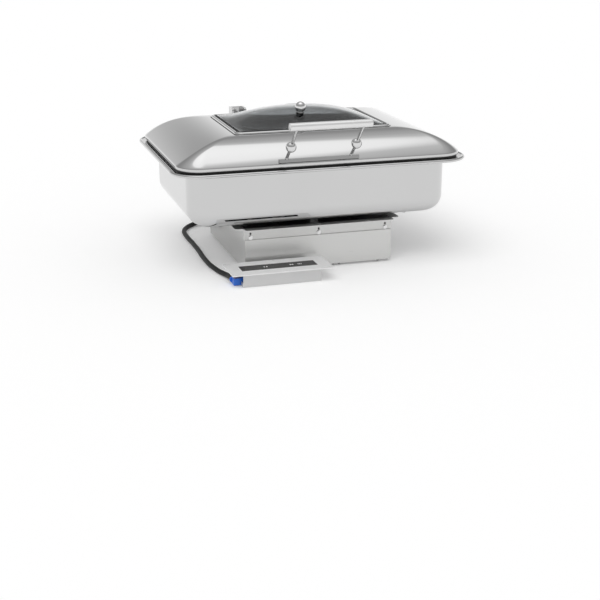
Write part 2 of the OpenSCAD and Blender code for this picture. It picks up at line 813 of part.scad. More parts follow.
module inlet_pins() {
    pin_l = 20;
    color([0.8, 0.75, 0.55]) for (x = [-7, 0, 7])
        translate([inlet_x + x - 1, housing_d / 2 - inlet_depth - 2, inlet_z + (x == 0 ? 1 : -3)])
            cube([2, pin_l, 4]);
}

// Gland with its nut inside and a tapered sleeve outside
module lead_gland() {
    wall_out = housing_d / 2;
    bore = lead_d + 0.2;
    color([0.1, 0.1, 0.1]) translate([gland_x, wall_out, gland_z]) rotate([-90, 0, 0]) difference() {
        union() {
            cylinder(d = gland_nut, h = 5, $fn = 6);
            translate([0, 0, 5]) cylinder(d1 = gland_nut - 3, d2 = lead_d + 1.4, h = gland_len - 5 + 3.5, $fn = round_fn);
            translate([0, 0, -housing_t - 4]) cylinder(d = gland_hole - 2 * screw_gap, h = housing_t + 5, $fn = round_fn);
            translate([0, 0, -housing_t - 4]) cylinder(d = gland_nut, h = 4, $fn = 6);
        }
        translate([0, 0, -housing_t - 4 - cut]) cylinder(d = gland_hole - 4, h = housing_t + 4 + 2 * cut, $fn = round_fn);
    }
}

// Star spacer: three crossed bars with a hollow that clears the sensor cap
module star_spacer() {
    color([0.6, 0.6, 0.6]) difference() {
        union() {
            for (turn = [-star_angle, star_angle]) rotate([0, 0, turn])
                translate([0, 0, z_star + star_t / 2]) cube([star_long, star_bar_w, star_t], center = true);
            translate([0, 0, z_star + star_t / 2]) cube([star_bar_w, star_short, star_t], center = true);
        }
        translate([0, 0, z_top + cap_rise - dome_r]) sphere(r = dome_r + 1, $fn = 2 * round_fn);
    }
}

// Chafer

module induction_base() {
    color([0.3, 0.3, 0.31]) slab(base_w, base_d, 16, z_base, base_t);
}

module chafer_body() {
    roll_r = roll_h / 2;
    step_r = rim_r - land_w;
    color([0.8, 0.8, 0.8]) {
        pan_shell(body_w, body_d, body_r, bottom_r, z_body, z_shelf - z_body, shell_t);
        sweep_rect(rim_w, rim_d, rim_r) union() {
            translate([rim_r - roll_r, z_rim + roll_r]) circle(r = roll_r, $fn = 32);
            translate([step_r, z_land - shell_t]) square([land_w - roll_r, shell_t]);
            translate([step_r, z_shelf - shell_t]) square([shell_t, step_h + shell_t]);
        }
        ring(rim_w - 2 * land_w + shell_t, rim_d - 2 * land_w + shell_t, step_r + shell_t / 2,
            gn_in_w, gn_in_d, gn_r, z_shelf - shell_t, shell_t);
    }
}

module food_pan() {
    inner_w = food_w - 2 * food_flange;
    inner_d = food_d - 2 * food_flange;
    pan_r = gn_r - 2;
    color([0.78, 0.78, 0.78]) {
        pan_shell(inner_w, inner_d, pan_r, 14, z_shelf + shell_t - food_h, food_h, shell_t);
        ring(food_w, food_d, 16, inner_w - shell_t, inner_d - shell_t, pan_r - shell_t / 2, z_shelf, shell_t);
    }
}

// Dome height over the upright edge, from 0 at the edge to 1 at the window
function dome(u) = dome_h * (1 - pow(1 - u, dome_power));

// Slope of the dome over a run
function dome_slope(u, run) = dome_h * dome_power * pow(1 - u, dome_power - 1) / run;

// One side of the dome's section, set in by t; it goes from the edge at a to the window at b
function dome_side(a, b, t) = [
    for (i = [0 : dome_steps]) let (
        u = i / dome_steps,
        run = b - a,
        m = dome_slope(u, run),
        k = t / sqrt(1 + m * m)
    ) [a + u * run + k * m, z_dome + dome(u) - k]
];

// Section of the lid between the edges -e and e, with the flat top from f1 to f2
function lid_section(e, f1, f2, t) = concat(
    [[-e + t, z_lid - cut * (t > 0 ? 1 : 0)]],
    dome_side(-e, f1, t),
    [for (i = [dome_steps : -1 : 0]) let (p = dome_side(-e, -f2, t)[i]) [-p[0], p[1]]],
    [[e - t, z_lid - cut * (t > 0 ? 1 : 0)]]
);

window_half = window_w / 2;
window_y1 = -window_front - window_d / 2;
window_y2 = -window_front + window_d / 2;

// Solid of the lid's outside, or of its inside when set in by t
module lid_form(t) {
    low = z_lid - cut * (t > 0 ? 1 : 0);
    intersection() {
        slab(lid_w - 2 * t, lid_d - 2 * t, lid_r - t, low, skirt_h + dome_h + 2 * cut);
        rotate([90, 0, 90]) linear_extrude(lid_w + 2, center = true)
            polygon(lid_section(lid_d / 2, window_y1, window_y2, t));
        rotate([90, 0, 0]) linear_extrude(lid_d + 2, center = true)
            polygon(lid_section(lid_w / 2, -window_half, window_half, t));
    }
}

module at_window() {
    translate([0, -window_front, 0]) children();
}

module lid_shell() {
    hem_w = 11;
    color([0.82, 0.82, 0.82]) {
        difference() {
            lid_form(0);
            lid_form(shell_t);
            at_window() slab(hole_w, hole_d, hole_r, z_crown - 3 * shell_t, 6 * shell_t);
        }
        ring(lid_w - shell_t, lid_d - shell_t, lid_r - shell_t / 2, lid_w - 2 * hem_w, lid_d - 2 * hem_w,
            lid_r - hem_w, z_lid, shell_t);
    }
}

module lid_seal() {
    seal_in = 3;
    outer_w = lid_w - 2 * seal_in;
    outer_d = lid_d - 2 * seal_in;
    outer_r = lid_r - seal_in;
    color([0.04, 0.04, 0.04]) ring(outer_w, outer_d, outer_r, outer_w - 2 * seal_w, outer_d - 2 * seal_w,
        outer_r - seal_w, z_land + slip_gap, lid_gap - slip_gap);
}

module window_frame() {
    bead_r = bead_w / 2;
    corner = 14;
    color([0.85, 0.85, 0.85]) at_window() sweep_rect(window_w, window_d, corner) intersection() {
        translate([corner - bead_r, z_crown]) circle(r = bead_r, $fn = 32);
        translate([corner - bead_w, z_crown]) square([bead_w, bead_r]);
    }
}

module window_gasket() {
    outer_w = window_w - 2 * bead_w;
    outer_d = window_d - 2 * bead_w;
    color([0.03, 0.03, 0.03]) at_window() ring(outer_w, outer_d, 6, outer_w - 2 * gasket_w,
        outer_d - 2 * gasket_w, 1, z_crown, gasket_h);
}

// Height of the glass's underside over its edge
function crown(u, v) = glass_crown * (1 - pow(abs(u), crown_power)) * (1 - pow(abs(v), crown_power));

// On the glass where the knob stands, turned square to the glass
module at_knob() {
    translate([-knob_left, -window_front - knob_front, z_crown + glass_t + crown(knob_u, knob_v)])
        rotate([atan(knob_slope), 0, 0]) children();
}

module window_glass() {
    nx = 20;
    ny = 14;
    cols = nx + 1;
    rows = ny + 1;
    count = cols * rows;
    top = [for (j = [0 : ny], i = [0 : nx]) let (u = 2 * i / nx - 1, v = 2 * j / ny - 1)
        [u * glass_w / 2, v * glass_d / 2, z_crown + glass_t + crown(u, v)]];
    low = [for (p = top) [p[0], p[1], p[2] - glass_t]];
    edge = concat(
        [for (i = [0 : nx - 1]) i],
        [for (j = [0 : ny - 1]) j * cols + nx],
        [for (i = [nx : -1 : 1]) ny * cols + i],
        [for (j = [ny : -1 : 1]) j * cols]
    );
    n = len(edge);
    tops = [for (j = [0 : ny - 1], i = [0 : nx - 1]) let (a = j * cols + i)
        each [[a, a + cols, a + cols + 1], [a, a + cols + 1, a + 1]]];
    lows = [for (f = tops) [f[0] + count, f[2] + count, f[1] + count]];
    sides = [for (k = [0 : n - 1]) let (a = edge[k], b = edge[(k + 1) % n])
        each [[a, b, b + count], [a, b + count, a + count]]];
    color([0.3, 0.33, 0.35, 0.5]) difference() {
        at_window() polyhedron(points = concat(top, low), faces = concat(tops, lows, sides));
        at_knob() translate([0, 0, -2 * glass_t]) cylinder(d = 7, h = 4 * glass_t, $fn = 32);
    }
}

module window_retainer() {
    color([0.7, 0.7, 0.7]) at_window() ring(glass_w + 6, glass_d + 6, 10, hole_w, hole_d, hole_r,
        z_crown - shell_t - 1.5, 1.5);
}

module window_knob() {
    base_h = 1.5;
    color([0.9, 0.9, 0.9]) at_knob() {
        translate([0, 0, knob_pad + base_h - 1 + knob_d / 2]) sphere(d = knob_d, $fn = round_fn);
        translate([0, 0, knob_pad]) cylinder(d = 12, h = base_h, $fn = round_fn);
        translate([0, 0, -glass_t - 6.5]) cylinder(d = 6, h = glass_t + 8, $fn = round_fn);
    }
}

// Two rubber washers, pressed on the glass from above and below
module knob_washer() {
    color([0.05, 0.05, 0.05]) at_knob() difference() {
        union() {
            translate([0, 0, -pad_squeeze]) cylinder(d = 14, h = knob_pad + pad_squeeze, $fn = round_fn);
            translate([0, 0, -glass_t - 1.2]) cylinder(d = 16, h = 1.5, $fn = round_fn);
        }
        translate([0, 0, -2 * glass_t]) cylinder(d = 6 + 2 * screw_gap, h = 4 * glass_t, $fn = round_fn);
    }
}

module knob_nut() {
    color([0.75, 0.75, 0.76]) at_knob() translate([0, 0, -glass_t - 5.2]) difference() {
        cylinder(d = 11.5, h = 4, $fn = 6);
        translate([0, 0, -cut]) cylinder(d = 6 + 2 * screw_gap, h = 4 + 2 * cut, $fn = round_fn);
    }
}

// Handle

module at_handle() {
    translate([-handle_left, 0, 0]) children();
}

module handle_strip() {
    color([0.35, 0.35, 0.36]) at_handle() difference() {
        translate([-grip_l / 2, strip_y, strip_z]) cube([grip_l, strip_d, strip_h]);
        rotate([90, 0, 90]) linear_extrude(grip_l + 2, center = true)
            polygon(lid_section(lid_d / 2, window_y1, window_y2, 0));
    }
}

// Rod between two points
module rod(a, b, d) {
    v = b - a;
    len = norm(v);
    translate(a) rotate([0, acos(v[2] / len), atan2(v[1], v[0])]) cylinder(d = d, h = len, $fn = 32);
}

module handle_posts() {
    foot = [0, strip_y + strip_d / 2, strip_z + strip_h];
    foot_t = 3;
    color([0.85, 0.85, 0.85]) at_handle() for (x = [-post_pitch / 2, post_pitch / 2]) translate([x, 0, 0])
        difference() {
            union() {
                translate(foot) cylinder(d = post_d + 1, h = foot_t, $fn = 32);
                rod(foot + [0, 0, foot_t - 0.6], [0, ball_y, ball_z], post_d);
                translate([0, ball_y, ball_z]) sphere(d = ball_d, $fn = round_fn);
                rod([0, ball_y, ball_z], [0, grip_y, grip_z], post_d);
            }
            translate([-ball_d, grip_y, grip_z]) rotate([0, 90, 0])
                cylinder(d = grip_d + 0.1, h = 2 * ball_d, $fn = round_fn);
        }
}

module handle_grip() {
    color([0.8, 0.8, 0.8]) at_handle() translate([-grip_l / 2, grip_y, grip_z]) rotate([0, 90, 0]) difference() {
        cylinder(d = grip_d, h = grip_l, $fn = round_fn);
        translate([0, 0, -cut]) cylinder(d = grip_d - 2 * grip_wall, h = grip_l + 2 * cut, $fn = round_fn);
    }
}

module grip_caps() {
    cap_l = 8;
    color([0.8, 0.8, 0.8]) at_handle() for (x = [-grip_l / 2, grip_l / 2 - cap_l]) translate([x, grip_y, grip_z])
        rotate([0, 90, 0]) cylinder(d = grip_d - 2 * grip_wall - 0.1, h = cap_l, $fn = round_fn);
}

// Hinges

module at_hinges() {
    for (side = [-1, 1]) translate([side * hinge_x, hinge_y, hinge_z]) children();
}

// Outline of a hinge's cheek, seen along X, from the hinge axis
module cheek_shape() {
    front = 14;
    top = bracket_top - hinge_z;
    low = bracket_low - hinge_z;
    corner = 5;
    translate([-front, low]) square([front + bracket_back, top - low - corner]);
    translate([-front + corner, low]) square([front + bracket_back - corner, top - low]);
    translate([-front + corner, top - corner]) circle(r = corner, $fn = 32);
    translate([body_d / 2 - hinge_y, low]) square([hinge_y - body_d / 2, z_shelf - shell_t - bracket_low]);
}

module hinge_brackets() {
    back_t = 4;
    color([0.75, 0.75, 0.75]) at_hinges() difference() {
        rotate([90, 0, 90]) linear_extrude(hinge_w, center = true) cheek_shape();
        translate([-hinge_w / 2 + cheek_t, body_d / 2 - hinge_y - cut, z_rim - hinge_z - 1])
            cube([hinge_w - 2 * cheek_t, hinge_end - body_d / 2 - back_t + cut, bracket_top - z_rim + 2 + cut]);
        translate([-hinge_w / 2 - cut, 0, 0]) rotate([0, 90, 0])
            cylinder(d = pin_d, h = hinge_w + 2 * cut, $fn = round_fn);
    }
}

module hinge_pins() {
    head = 1.5;
    color([0.6, 0.6, 0.6]) at_hinges() rotate([0, 90, 0]) {
        translate([0, 0, -hinge_w / 2 - head]) cylinder(d = pin_d, h = hinge_w + 2 * head, $fn = round_fn);
        for (z = [-hinge_w / 2 - head, hinge_w / 2]) translate([0, 0, z])
            cylinder(d = pin_d + 3, h = head, $fn = round_fn);
    }
}

module hinge_arms() {
    arm_w = hinge_w - 2 * cheek_t - 2 * arm_gap;
    reach = hinge_y - skirt_y;
    color([0.72, 0.72, 0.72]) at_hinges() difference() {
        rotate([90, 0, 90]) linear_extrude(arm_w, center = true) difference() {
            union() {
                circle(r = eye_r, $fn = round_fn);
                polygon([[0, -eye_r + 2], [-reach - 1, -eye_r + 2], [-reach - 1, 0], [-reach - 12, 10],
                    [-reach - 8, 12], [0, eye_r]]);
            }
            circle(r = pin_d / 2 + pin_gap, $fn = round_fn);
        }
        translate([0, -hinge_y, -hinge_z]) rotate([90, 0, 90]) linear_extrude(hinge_w, center = true)
            polygon(lid_section(lid_d / 2, window_y1, window_y2, 0));
    }
}

// Touch panel

module at_panel_holes() {
    translate([panel_x + panel_w / 2, panel_y + panel_d / 2, panel_top]) {
        at_corners(panel_w - 2 * panel_hole_in, panel_d - 2 * panel_hole_in) children();
        for (side = [-1, 1]) translate([0, side * (panel_d / 2 - panel_hole_in), 0]) children();
    }
}

module panel_plate() {
    color([0.92, 0.92, 0.92]) difference() {
        translate([panel_x + panel_w / 2, panel_y + panel_d / 2, 0])
            slab(panel_w, panel_d, 1.5, panel_top - panel_t, panel_t);
        translate([panel_x + panel_w / 2, panel_y + panel_d / 2, 0])
            slab(touch_w, touch_d, 1, panel_top - panel_t - cut, panel_t + 2 * cut);
        at_panel_holes() {
            translate([0, 0, -panel_t - cut]) cylinder(d = panel_hole_d, h = panel_t + 2 * cut, $fn = round_fn);
        }
    }
}

module touch_glass() {
    lip = 2;
    color([0.05, 0.05, 0.06]) translate([panel_x + panel_w / 2, panel_y + panel_d / 2, 0]) {
        slab(touch_w - 2 * slip_gap, touch_d - 2 * slip_gap, 1, panel_top - panel_t - cut, panel_t + cut);
        slab(min(touch_w + 2 * lip, box_w - 4), touch_d + 2 * lip, 1, panel_top - panel_t - 2, 2);
    }
}

module panel_channel() {
    wall = 1.2;
    color([0.8, 0.8, 0.8]) translate([box_x, box_y, tray_h]) difference() {
        cube([box_w, box_d, channel_h]);
        translate([-cut, wall, -cut]) cube([box_w - wall + cut, box_d - 2 * wall, channel_h + 2 * cut]);
    }
}

module panel_tray() {
    wall = 1.2;
    boss_d = 6;
    boss_in = 12;
    tray_w = box_w + tray_extra;
    tray_d = box_d;
    color([0.8, 0.8, 0.8]) translate([box_x - tray_extra, box_y, 0]) {
        difference() {
            cube([tray_w, tray_d, tray_h]);
            translate([wall, wall, wall]) cube([tray_w - 2 * wall, tray_d - 2 * wall, tray_h]);
            translate([-cut, plug_y - box_y - 1, wall]) cube([wall + 2 * cut, plug_d + 2, tray_h]);
        }
        translate([tray_w / 2 + 8, tray_d / 2, wall]) at_corners(tray_w - 2 * boss_in - 16, tray_d - 2 * boss_in)
            translate([0, 0, -wall / 2]) cylinder(d = boss_d, h = tray_h - wall / 2, $fn = 32);
    }
}

module panel_board() {
    margin = 4;
    color([0.1, 0.38, 0.2]) translate([box_x + 12, box_y + margin, tray_h])
        cube([box_w - 12 - 2 * margin, box_d - 2 * margin, board_t]);
}

module lead_connector() {
    color([0.1, 0.4, 0.85]) difference() {
        union() {
            translate([plug_x, plug_y, plug_z]) cube([plug_w, plug_d, plug_h]);
            translate([lead_end[0], plug_y + plug_d, lead_end[2]]) rotate([-90, 0, 0])
                cylinder(d = lead_d + 1, h = sleeve_l, $fn = 32);
        }
        for (i = [0 : 3]) translate([plug_x + 2.5 + 4 * i, plug_y + 2, plug_z + plug_h - 4])
            cube([2.6, plug_d - 6, 5]);
    }
}

module connector_contacts() {
    color([0.85, 0.55, 0.25]) for (i = [0 : 3])
        translate([plug_x + 2.9 + 4 * i, plug_y + 2.5, plug_z + plug_h - 4]) cube([1.8, plug_d - 7, 3.6]);
}

// Lead: a tube swept along its route

function unit(v) = v / norm(v);

// Direction of the route at each point; the two ends run straight in and out
function heading(i) = i == 0 ? unit(lead_route[1] - lead_route[0])
    : i == len(lead_route) - 1 ? unit(lead_route[i] - lead_route[i - 1])
    : unit(unit(lead_route[i + 1] - lead_route[i]) + unit(lead_route[i] - lead_route[i - 1]));

module control_lead() {
    sides = 10;
    r = lead_d / 2;
    n = len(lead_route);
    points = [for (i = [0 : n - 1]) let (
        t = heading(i),
        side = unit(cross(t, [0, 0, 1])),
        up = cross(side, t)
    ) for (k = [0 : sides - 1]) lead_route[i] + r * cos(360 * k / sides) * side + r * sin(360 * k / sides) * up];
    walls = [for (i = [0 : n - 2], k = [0 : sides - 1]) let (
        a = i * sides + k,
        b = i * sides + (k + 1) % sides
    ) each [[a, a + sides, b + sides], [a, b + sides, b]]];
    caps = concat(
        [for (k = [1 : sides - 2]) [0, k, k + 1]],
        [for (k = [1 : sides - 2]) [(n - 1) * sides, (n - 1) * sides + k + 1, (n - 1) * sides + k]]
    );
    color([0.04, 0.04, 0.04]) polyhedron(points = points, faces = concat(walls, caps));
}

translate([0, mid_y, 0]) lower_housing();
translate([0, mid_y, 0]) bottom_cover();
translate([0, mid_y, 0]) cover_screws();
translate([0, mid_y, 0]) rubber_feet();
translate([0, mid_y, 0]) mounting_frame();
translate([0, mid_y, 0]) frame_screws();
translate([0, mid_y, 0]) top_plate();
translate([0, mid_y, 0]) sensor_cap();
translate([0, mid_y, 0]) sensor_guide();
translate([0, mid_y, 0]) sensor_spring();
translate([0, mid_y, 0]) coil_carrier();
translate([0, mid_y, 0]) ferrite_bars();
translate([0, mid_y, 0]) coil_winding();
translate([0, mid_y, 0]) mica_sheet();
translate([0, mid_y, 0]) power_board();
translate([0, mid_y, 0]) board_standoffs();
translate([0, mid_y, 0]) heat_sink();
translate([0, mid_y, 0]) capacitors();
translate([0, mid_y, 0]) terminal_block();
translate([0, mid_y, 0]) fan_housing();
translate([0, mid_y, 0]) fan_rotor();
translate([0, mid_y, 0]) mains_inlet();
translate([0, mid_y, 0]) inlet_pins();
translate([0, mid_y, 0]) lead_gland();
translate([0, mid_y, 0]) star_spacer();
translate([0, mid_y, 0]) induction_base();
translate([0, mid_y, 0]) chafer_body();
translate([0, mid_y, 0]) food_pan();
translate([0, mid_y, 0]) hinge_brackets();
translate([0, mid_y, 0]) hinge_pins();
translate([0, mid_y, 0]) lid_shell();
translate([0, mid_y, 0]) lid_seal();
translate([0, mid_y, 0]) hinge_arms();
translate([0, mid_y, 0]) window_frame();
translate([0, mid_y, 0]) window_gasket();
translate([0, mid_y, 0]) window_glass();
translate([0, mid_y, 0]) window_retainer();
translate([0, mid_y, 0]) window_knob();
translate([0, mid_y, 0]) knob_washer();
translate([0, mid_y, 0]) knob_nut();
translate([0, mid_y, 0]) handle_strip();
translate([0, mid_y, 0]) handle_posts();
translate([0, mid_y, 0]) handle_grip();
translate([0, mid_y, 0]) grip_caps();
translate([0, mid_y, 0]) panel_plate();
translate([0, mid_y, 0]) touch_glass();
translate([0, mid_y, 0]) panel_channel();
translate([0, mid_y, 0]) panel_tray();
translate([0, mid_y, 0]) panel_board();
translate([0, mid_y, 0]) lead_connector();
translate([0, mid_y, 0]) connector_contacts();
translate([0, mid_y, 0]) control_lead();
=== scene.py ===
"""Looks of the induction food warmer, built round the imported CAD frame. Metres, same frame as the CAD."""
import math

import bpy
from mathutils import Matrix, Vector


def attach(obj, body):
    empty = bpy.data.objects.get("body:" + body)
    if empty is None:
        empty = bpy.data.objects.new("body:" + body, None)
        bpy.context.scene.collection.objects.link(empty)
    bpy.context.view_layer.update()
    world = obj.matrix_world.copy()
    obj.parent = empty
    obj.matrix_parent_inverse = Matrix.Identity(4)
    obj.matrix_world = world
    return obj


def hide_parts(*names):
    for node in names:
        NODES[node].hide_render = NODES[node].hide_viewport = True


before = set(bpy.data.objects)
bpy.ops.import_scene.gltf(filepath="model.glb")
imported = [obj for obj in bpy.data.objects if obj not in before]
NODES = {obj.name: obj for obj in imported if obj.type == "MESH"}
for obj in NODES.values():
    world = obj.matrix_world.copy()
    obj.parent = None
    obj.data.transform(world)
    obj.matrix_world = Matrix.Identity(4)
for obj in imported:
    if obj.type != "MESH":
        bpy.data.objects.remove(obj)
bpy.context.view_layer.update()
MM = 0.001
scene = bpy.context.scene
scene.view_settings.view_transform = "Standard"

# Sizes that repeat part.scad's, in millimetres. Shapes are measured from the unit's middle, as there, and
# MID_Y moves them to the row's origin. The rim, knob and grip, which reach furthest, are smaller by
# ROUND_GAP, so that they stay inside the box of the CAD's facets
MID_Y = 14
ROUND_GAP = 0.02
SHEET = 1.2
Z_TOP, Z_BODY, Z_SHELF, Z_RIM, Z_LAND = 90, 101.4, 205.4, 208.4, 213.4
Z_LID, Z_DOME, Z_CROWN = 217.4, 223.4, 268.4
PLATE_W, PLATE_D = 300, 290
BODY_W, BODY_D, BODY_R, BOTTOM_R = 522, 366, 50, 31
OPEN_W, OPEN_D, OPEN_R = 510, 305, 24
RIM_W, RIM_D, RIM_R, ROLL_R, LAND_W = 592 - ROUND_GAP, 430, 58, 3.25, 30
PAN_W, PAN_D, PAN_R, PAN_EDGE = 505, 300, 22, 14
PAN_LOW, FLANGE_W = 141.6, 530
LID_W, LID_D, LID_R, HEM_W = 568, 402, 46, 11
DOME_H, DOME_POWER = 45, 2.2
WIN_W, WIN_D, WIN_R, WIN_Y, BEAD = 318, 217, 14, -13.5, 8
GLASS_W, GLASS_D, GLASS_T, GLASS_CROWN, CROWN_POWER = 295.4, 194.4, 4, 28, 2.4
HOLE_W, HOLE_D, HOLE_R = 284, 183, 8
GRIP_L, GRIP_D, GRIP_WALL = 158, 15 - ROUND_GAP, 2
GRIP_Y, GRIP_Z, BALL_Y, BALL_Z, BALL_D = -268, 305.4, -226, 260.4, 20
HANDLE_X, POST_X, POST_D, FOOT_Y, FOOT_Z = -16, 64, 6, -197.5, 232.4
KNOB_D, KNOB_X, KNOB_FRONT, KNOB_PAD = 21.5 - ROUND_GAP, -13, 50, 0.8
PANEL_X, PANEL_Y, PANEL_TOP = -100, -204.5, 28
LEAD_D = 9.9
LEAD = [
    (-93, 170, 34), (-93, 184, 34), (-94, 198, 32), (-99, 211, 28), (-109, 222, 22), (-123, 230, 16),
    (-139, 234, 11), (-156, 233, 8), (-172, 226, 6), (-186, 214, 5), (-196, 198, 5), (-203, 180, 5),
    (-206, 160, 5), (-207, 136, 5), (-207, 110, 5), (-206, 84, 5), (-206, 56, 5), (-206, 28, 5),
    (-207, 0, 5), (-208, -28, 5), (-208, -56, 5), (-207, -84, 5), (-204, -110, 5), (-200, -134, 5),
    (-195, -156, 6), (-191, -174, 7), (-190, -190, 8), (-190, -200.5, 8),
]


# Camera, in metres and radians, as measured on the photograph

CAMERA_AT = (-0.714, -2.333, 0.7044)
CAMERA_YAW, CAMERA_PITCH = 0.2979, 0.323
SENSOR, LENS = 36, 72.9


def make_camera():
    """Camera where the photograph was taken from."""
    data = bpy.data.cameras.new("camera")
    data.sensor_width = SENSOR
    data.lens = LENS
    cam = bpy.data.objects.new("camera", data)
    scene.collection.objects.link(cam)
    cam.location = CAMERA_AT
    level = math.cos(CAMERA_PITCH)
    ahead = Vector((math.sin(CAMERA_YAW) * level, math.cos(CAMERA_YAW) * level, -math.sin(CAMERA_PITCH)))
    cam.rotation_euler = ahead.to_track_quat("-Z", "Y").to_euler()
    scene.camera = cam


make_camera()


# Materials

# How far a texture raises a surface, in metres
RELIEF = 0.0002


def new_material(name):
    """A new material, its node tree and its shader."""
    mat = bpy.data.materials.new(name)
    mat.use_nodes = True
    return mat, mat.node_tree, mat.node_tree.nodes["Principled BSDF"]


def texture(tree, scale, stretch=(1, 1, 1), detail=3, kind="ShaderNodeTexNoise"):
    """A texture on the piece's own coordinates, in metres."""
    coord = tree.nodes.new("ShaderNodeTexCoord")
    mapping = tree.nodes.new("ShaderNodeMapping")
    mapping.inputs["Scale"].default_value = stretch
    node = tree.nodes.new(kind)
    node.inputs["Scale"].default_value = scale
    if "Detail" in node.inputs:
        node.inputs["Detail"].default_value = detail
    tree.links.new(coord.outputs["Object"], mapping.inputs["Vector"])
    tree.links.new(mapping.outputs["Vector"], node.inputs["Vector"])
    return node


def ramp(tree, source, stops):
    """A colour ramp over a value, from stops of a position and a colour."""
    node = tree.nodes.new("ShaderNodeValToRGB")
    elements = node.color_ramp.elements
    while len(elements) < len(stops):
        elements.new(0.5)
    for element, (pos, color) in zip(elements, stops):
        element.position = pos
        element.color = (*color, 1)
    tree.links.new(source, node.inputs["Fac"])
    return node


def grey(v):
    """A neutral colour."""
    return (v, v, v)


def map_range(tree, source, low, high):
    """A value from 0 to 1 spread from low to high."""
    node = tree.nodes.new("ShaderNodeMapRange")
    node.inputs["To Min"].default_value = low
    node.inputs["To Max"].default_value = high
    tree.links.new(source, node.inputs["Value"])
    return node.outputs["Result"]


def bump(tree, bsdf, source, strength):
    """A surface raised by a texture."""
    node = tree.nodes.new("ShaderNodeBump")
    node.inputs["Strength"].default_value = strength
    node.inputs["Distance"].default_value = RELIEF
    tree.links.new(source, node.inputs["Height"])
    tree.links.new(node.outputs["Normal"], bsdf.inputs["Normal"])


def metal(name, color, rough, grain=0.0, stretch=(1, 60, 60), scale=30, spread=0.05, tint=0.04, share=1.0):
    """Metal: colour a little uneven, roughness with the grain of its finish."""
    mat, tree, bsdf = new_material(name)
    bsdf.inputs["Metallic"].default_value = share
    fine = texture(tree, scale, stretch, detail=4)
    broad = texture(tree, 6, detail=2)
    tone = ramp(tree, broad.outputs["Fac"], [(0.3, [c * (1 - tint) for c in color]), (0.7, color)])
    tree.links.new(tone.outputs["Color"], bsdf.inputs["Base Color"])
    finish = map_range(tree, fine.outputs["Fac"], rough - spread, rough + spread)
    tree.links.new(finish, bsdf.inputs["Roughness"])
    if grain:
        bump(tree, bsdf, fine.outputs["Fac"], grain)
    return mat


def solid(name, color, rough, scale=400, relief=0.1, vary=0.12, coat=0.0, spec=0.5):
    """Plastic, rubber or paint: fine moulded or sprayed texture."""
    mat, tree, bsdf = new_material(name)
    fine = texture(tree, scale, detail=3)
    dark = [c * (1 - vary) for c in color]
    light = [min(1, c * (1 + vary)) for c in color]
    tone = ramp(tree, fine.outputs["Fac"], [(0.35, dark), (0.65, light)])
    tree.links.new(tone.outputs["Color"], bsdf.inputs["Base Color"])
    finish = map_range(tree, fine.outputs["Fac"], rough * 0.85, min(1, rough * 1.15))
    tree.links.new(finish, bsdf.inputs["Roughness"])
    bsdf.inputs["Coat Weight"].default_value = coat
    bsdf.inputs["Specular IOR Level"].default_value = spec
    bump(tree, bsdf, fine.outputs["Fac"], relief)
    return mat


def glass_material():
    """Grey window glass with a faint film on it."""
    mat, tree, bsdf = new_material("window_glass")
    bsdf.inputs["Base Color"].default_value = (0.5, 0.52, 0.53, 1)
    bsdf.inputs["Transmission Weight"].default_value = 1
    bsdf.inputs["IOR"].default_value = 1.52
    film = texture(tree, 25, detail=2)
    tree.links.new(map_range(tree, film.outputs["Fac"], 0.0, 0.04), bsdf.inputs["Roughness"])
    return mat


def board_material():
    """Green board with small pads."""
    mat, tree, bsdf = new_material("circuit_board")
    cells = texture(tree, 260, kind="ShaderNodeTexVoronoi")
    pad, green, light_green = (0.5, 0.42, 0.2), (0.02, 0.16, 0.06), (0.03, 0.22, 0.08)
    tone = ramp(tree, cells.outputs["Distance"], [(0.08, pad), (0.16, green), (0.6, light_green)])
    tree.links.new(tone.outputs["Color"], bsdf.inputs["Base Color"])
    bsdf.inputs["Roughness"].default_value = 0.35
    bump(tree, bsdf, cells.outputs["Distance"], 0.2)
    return mat


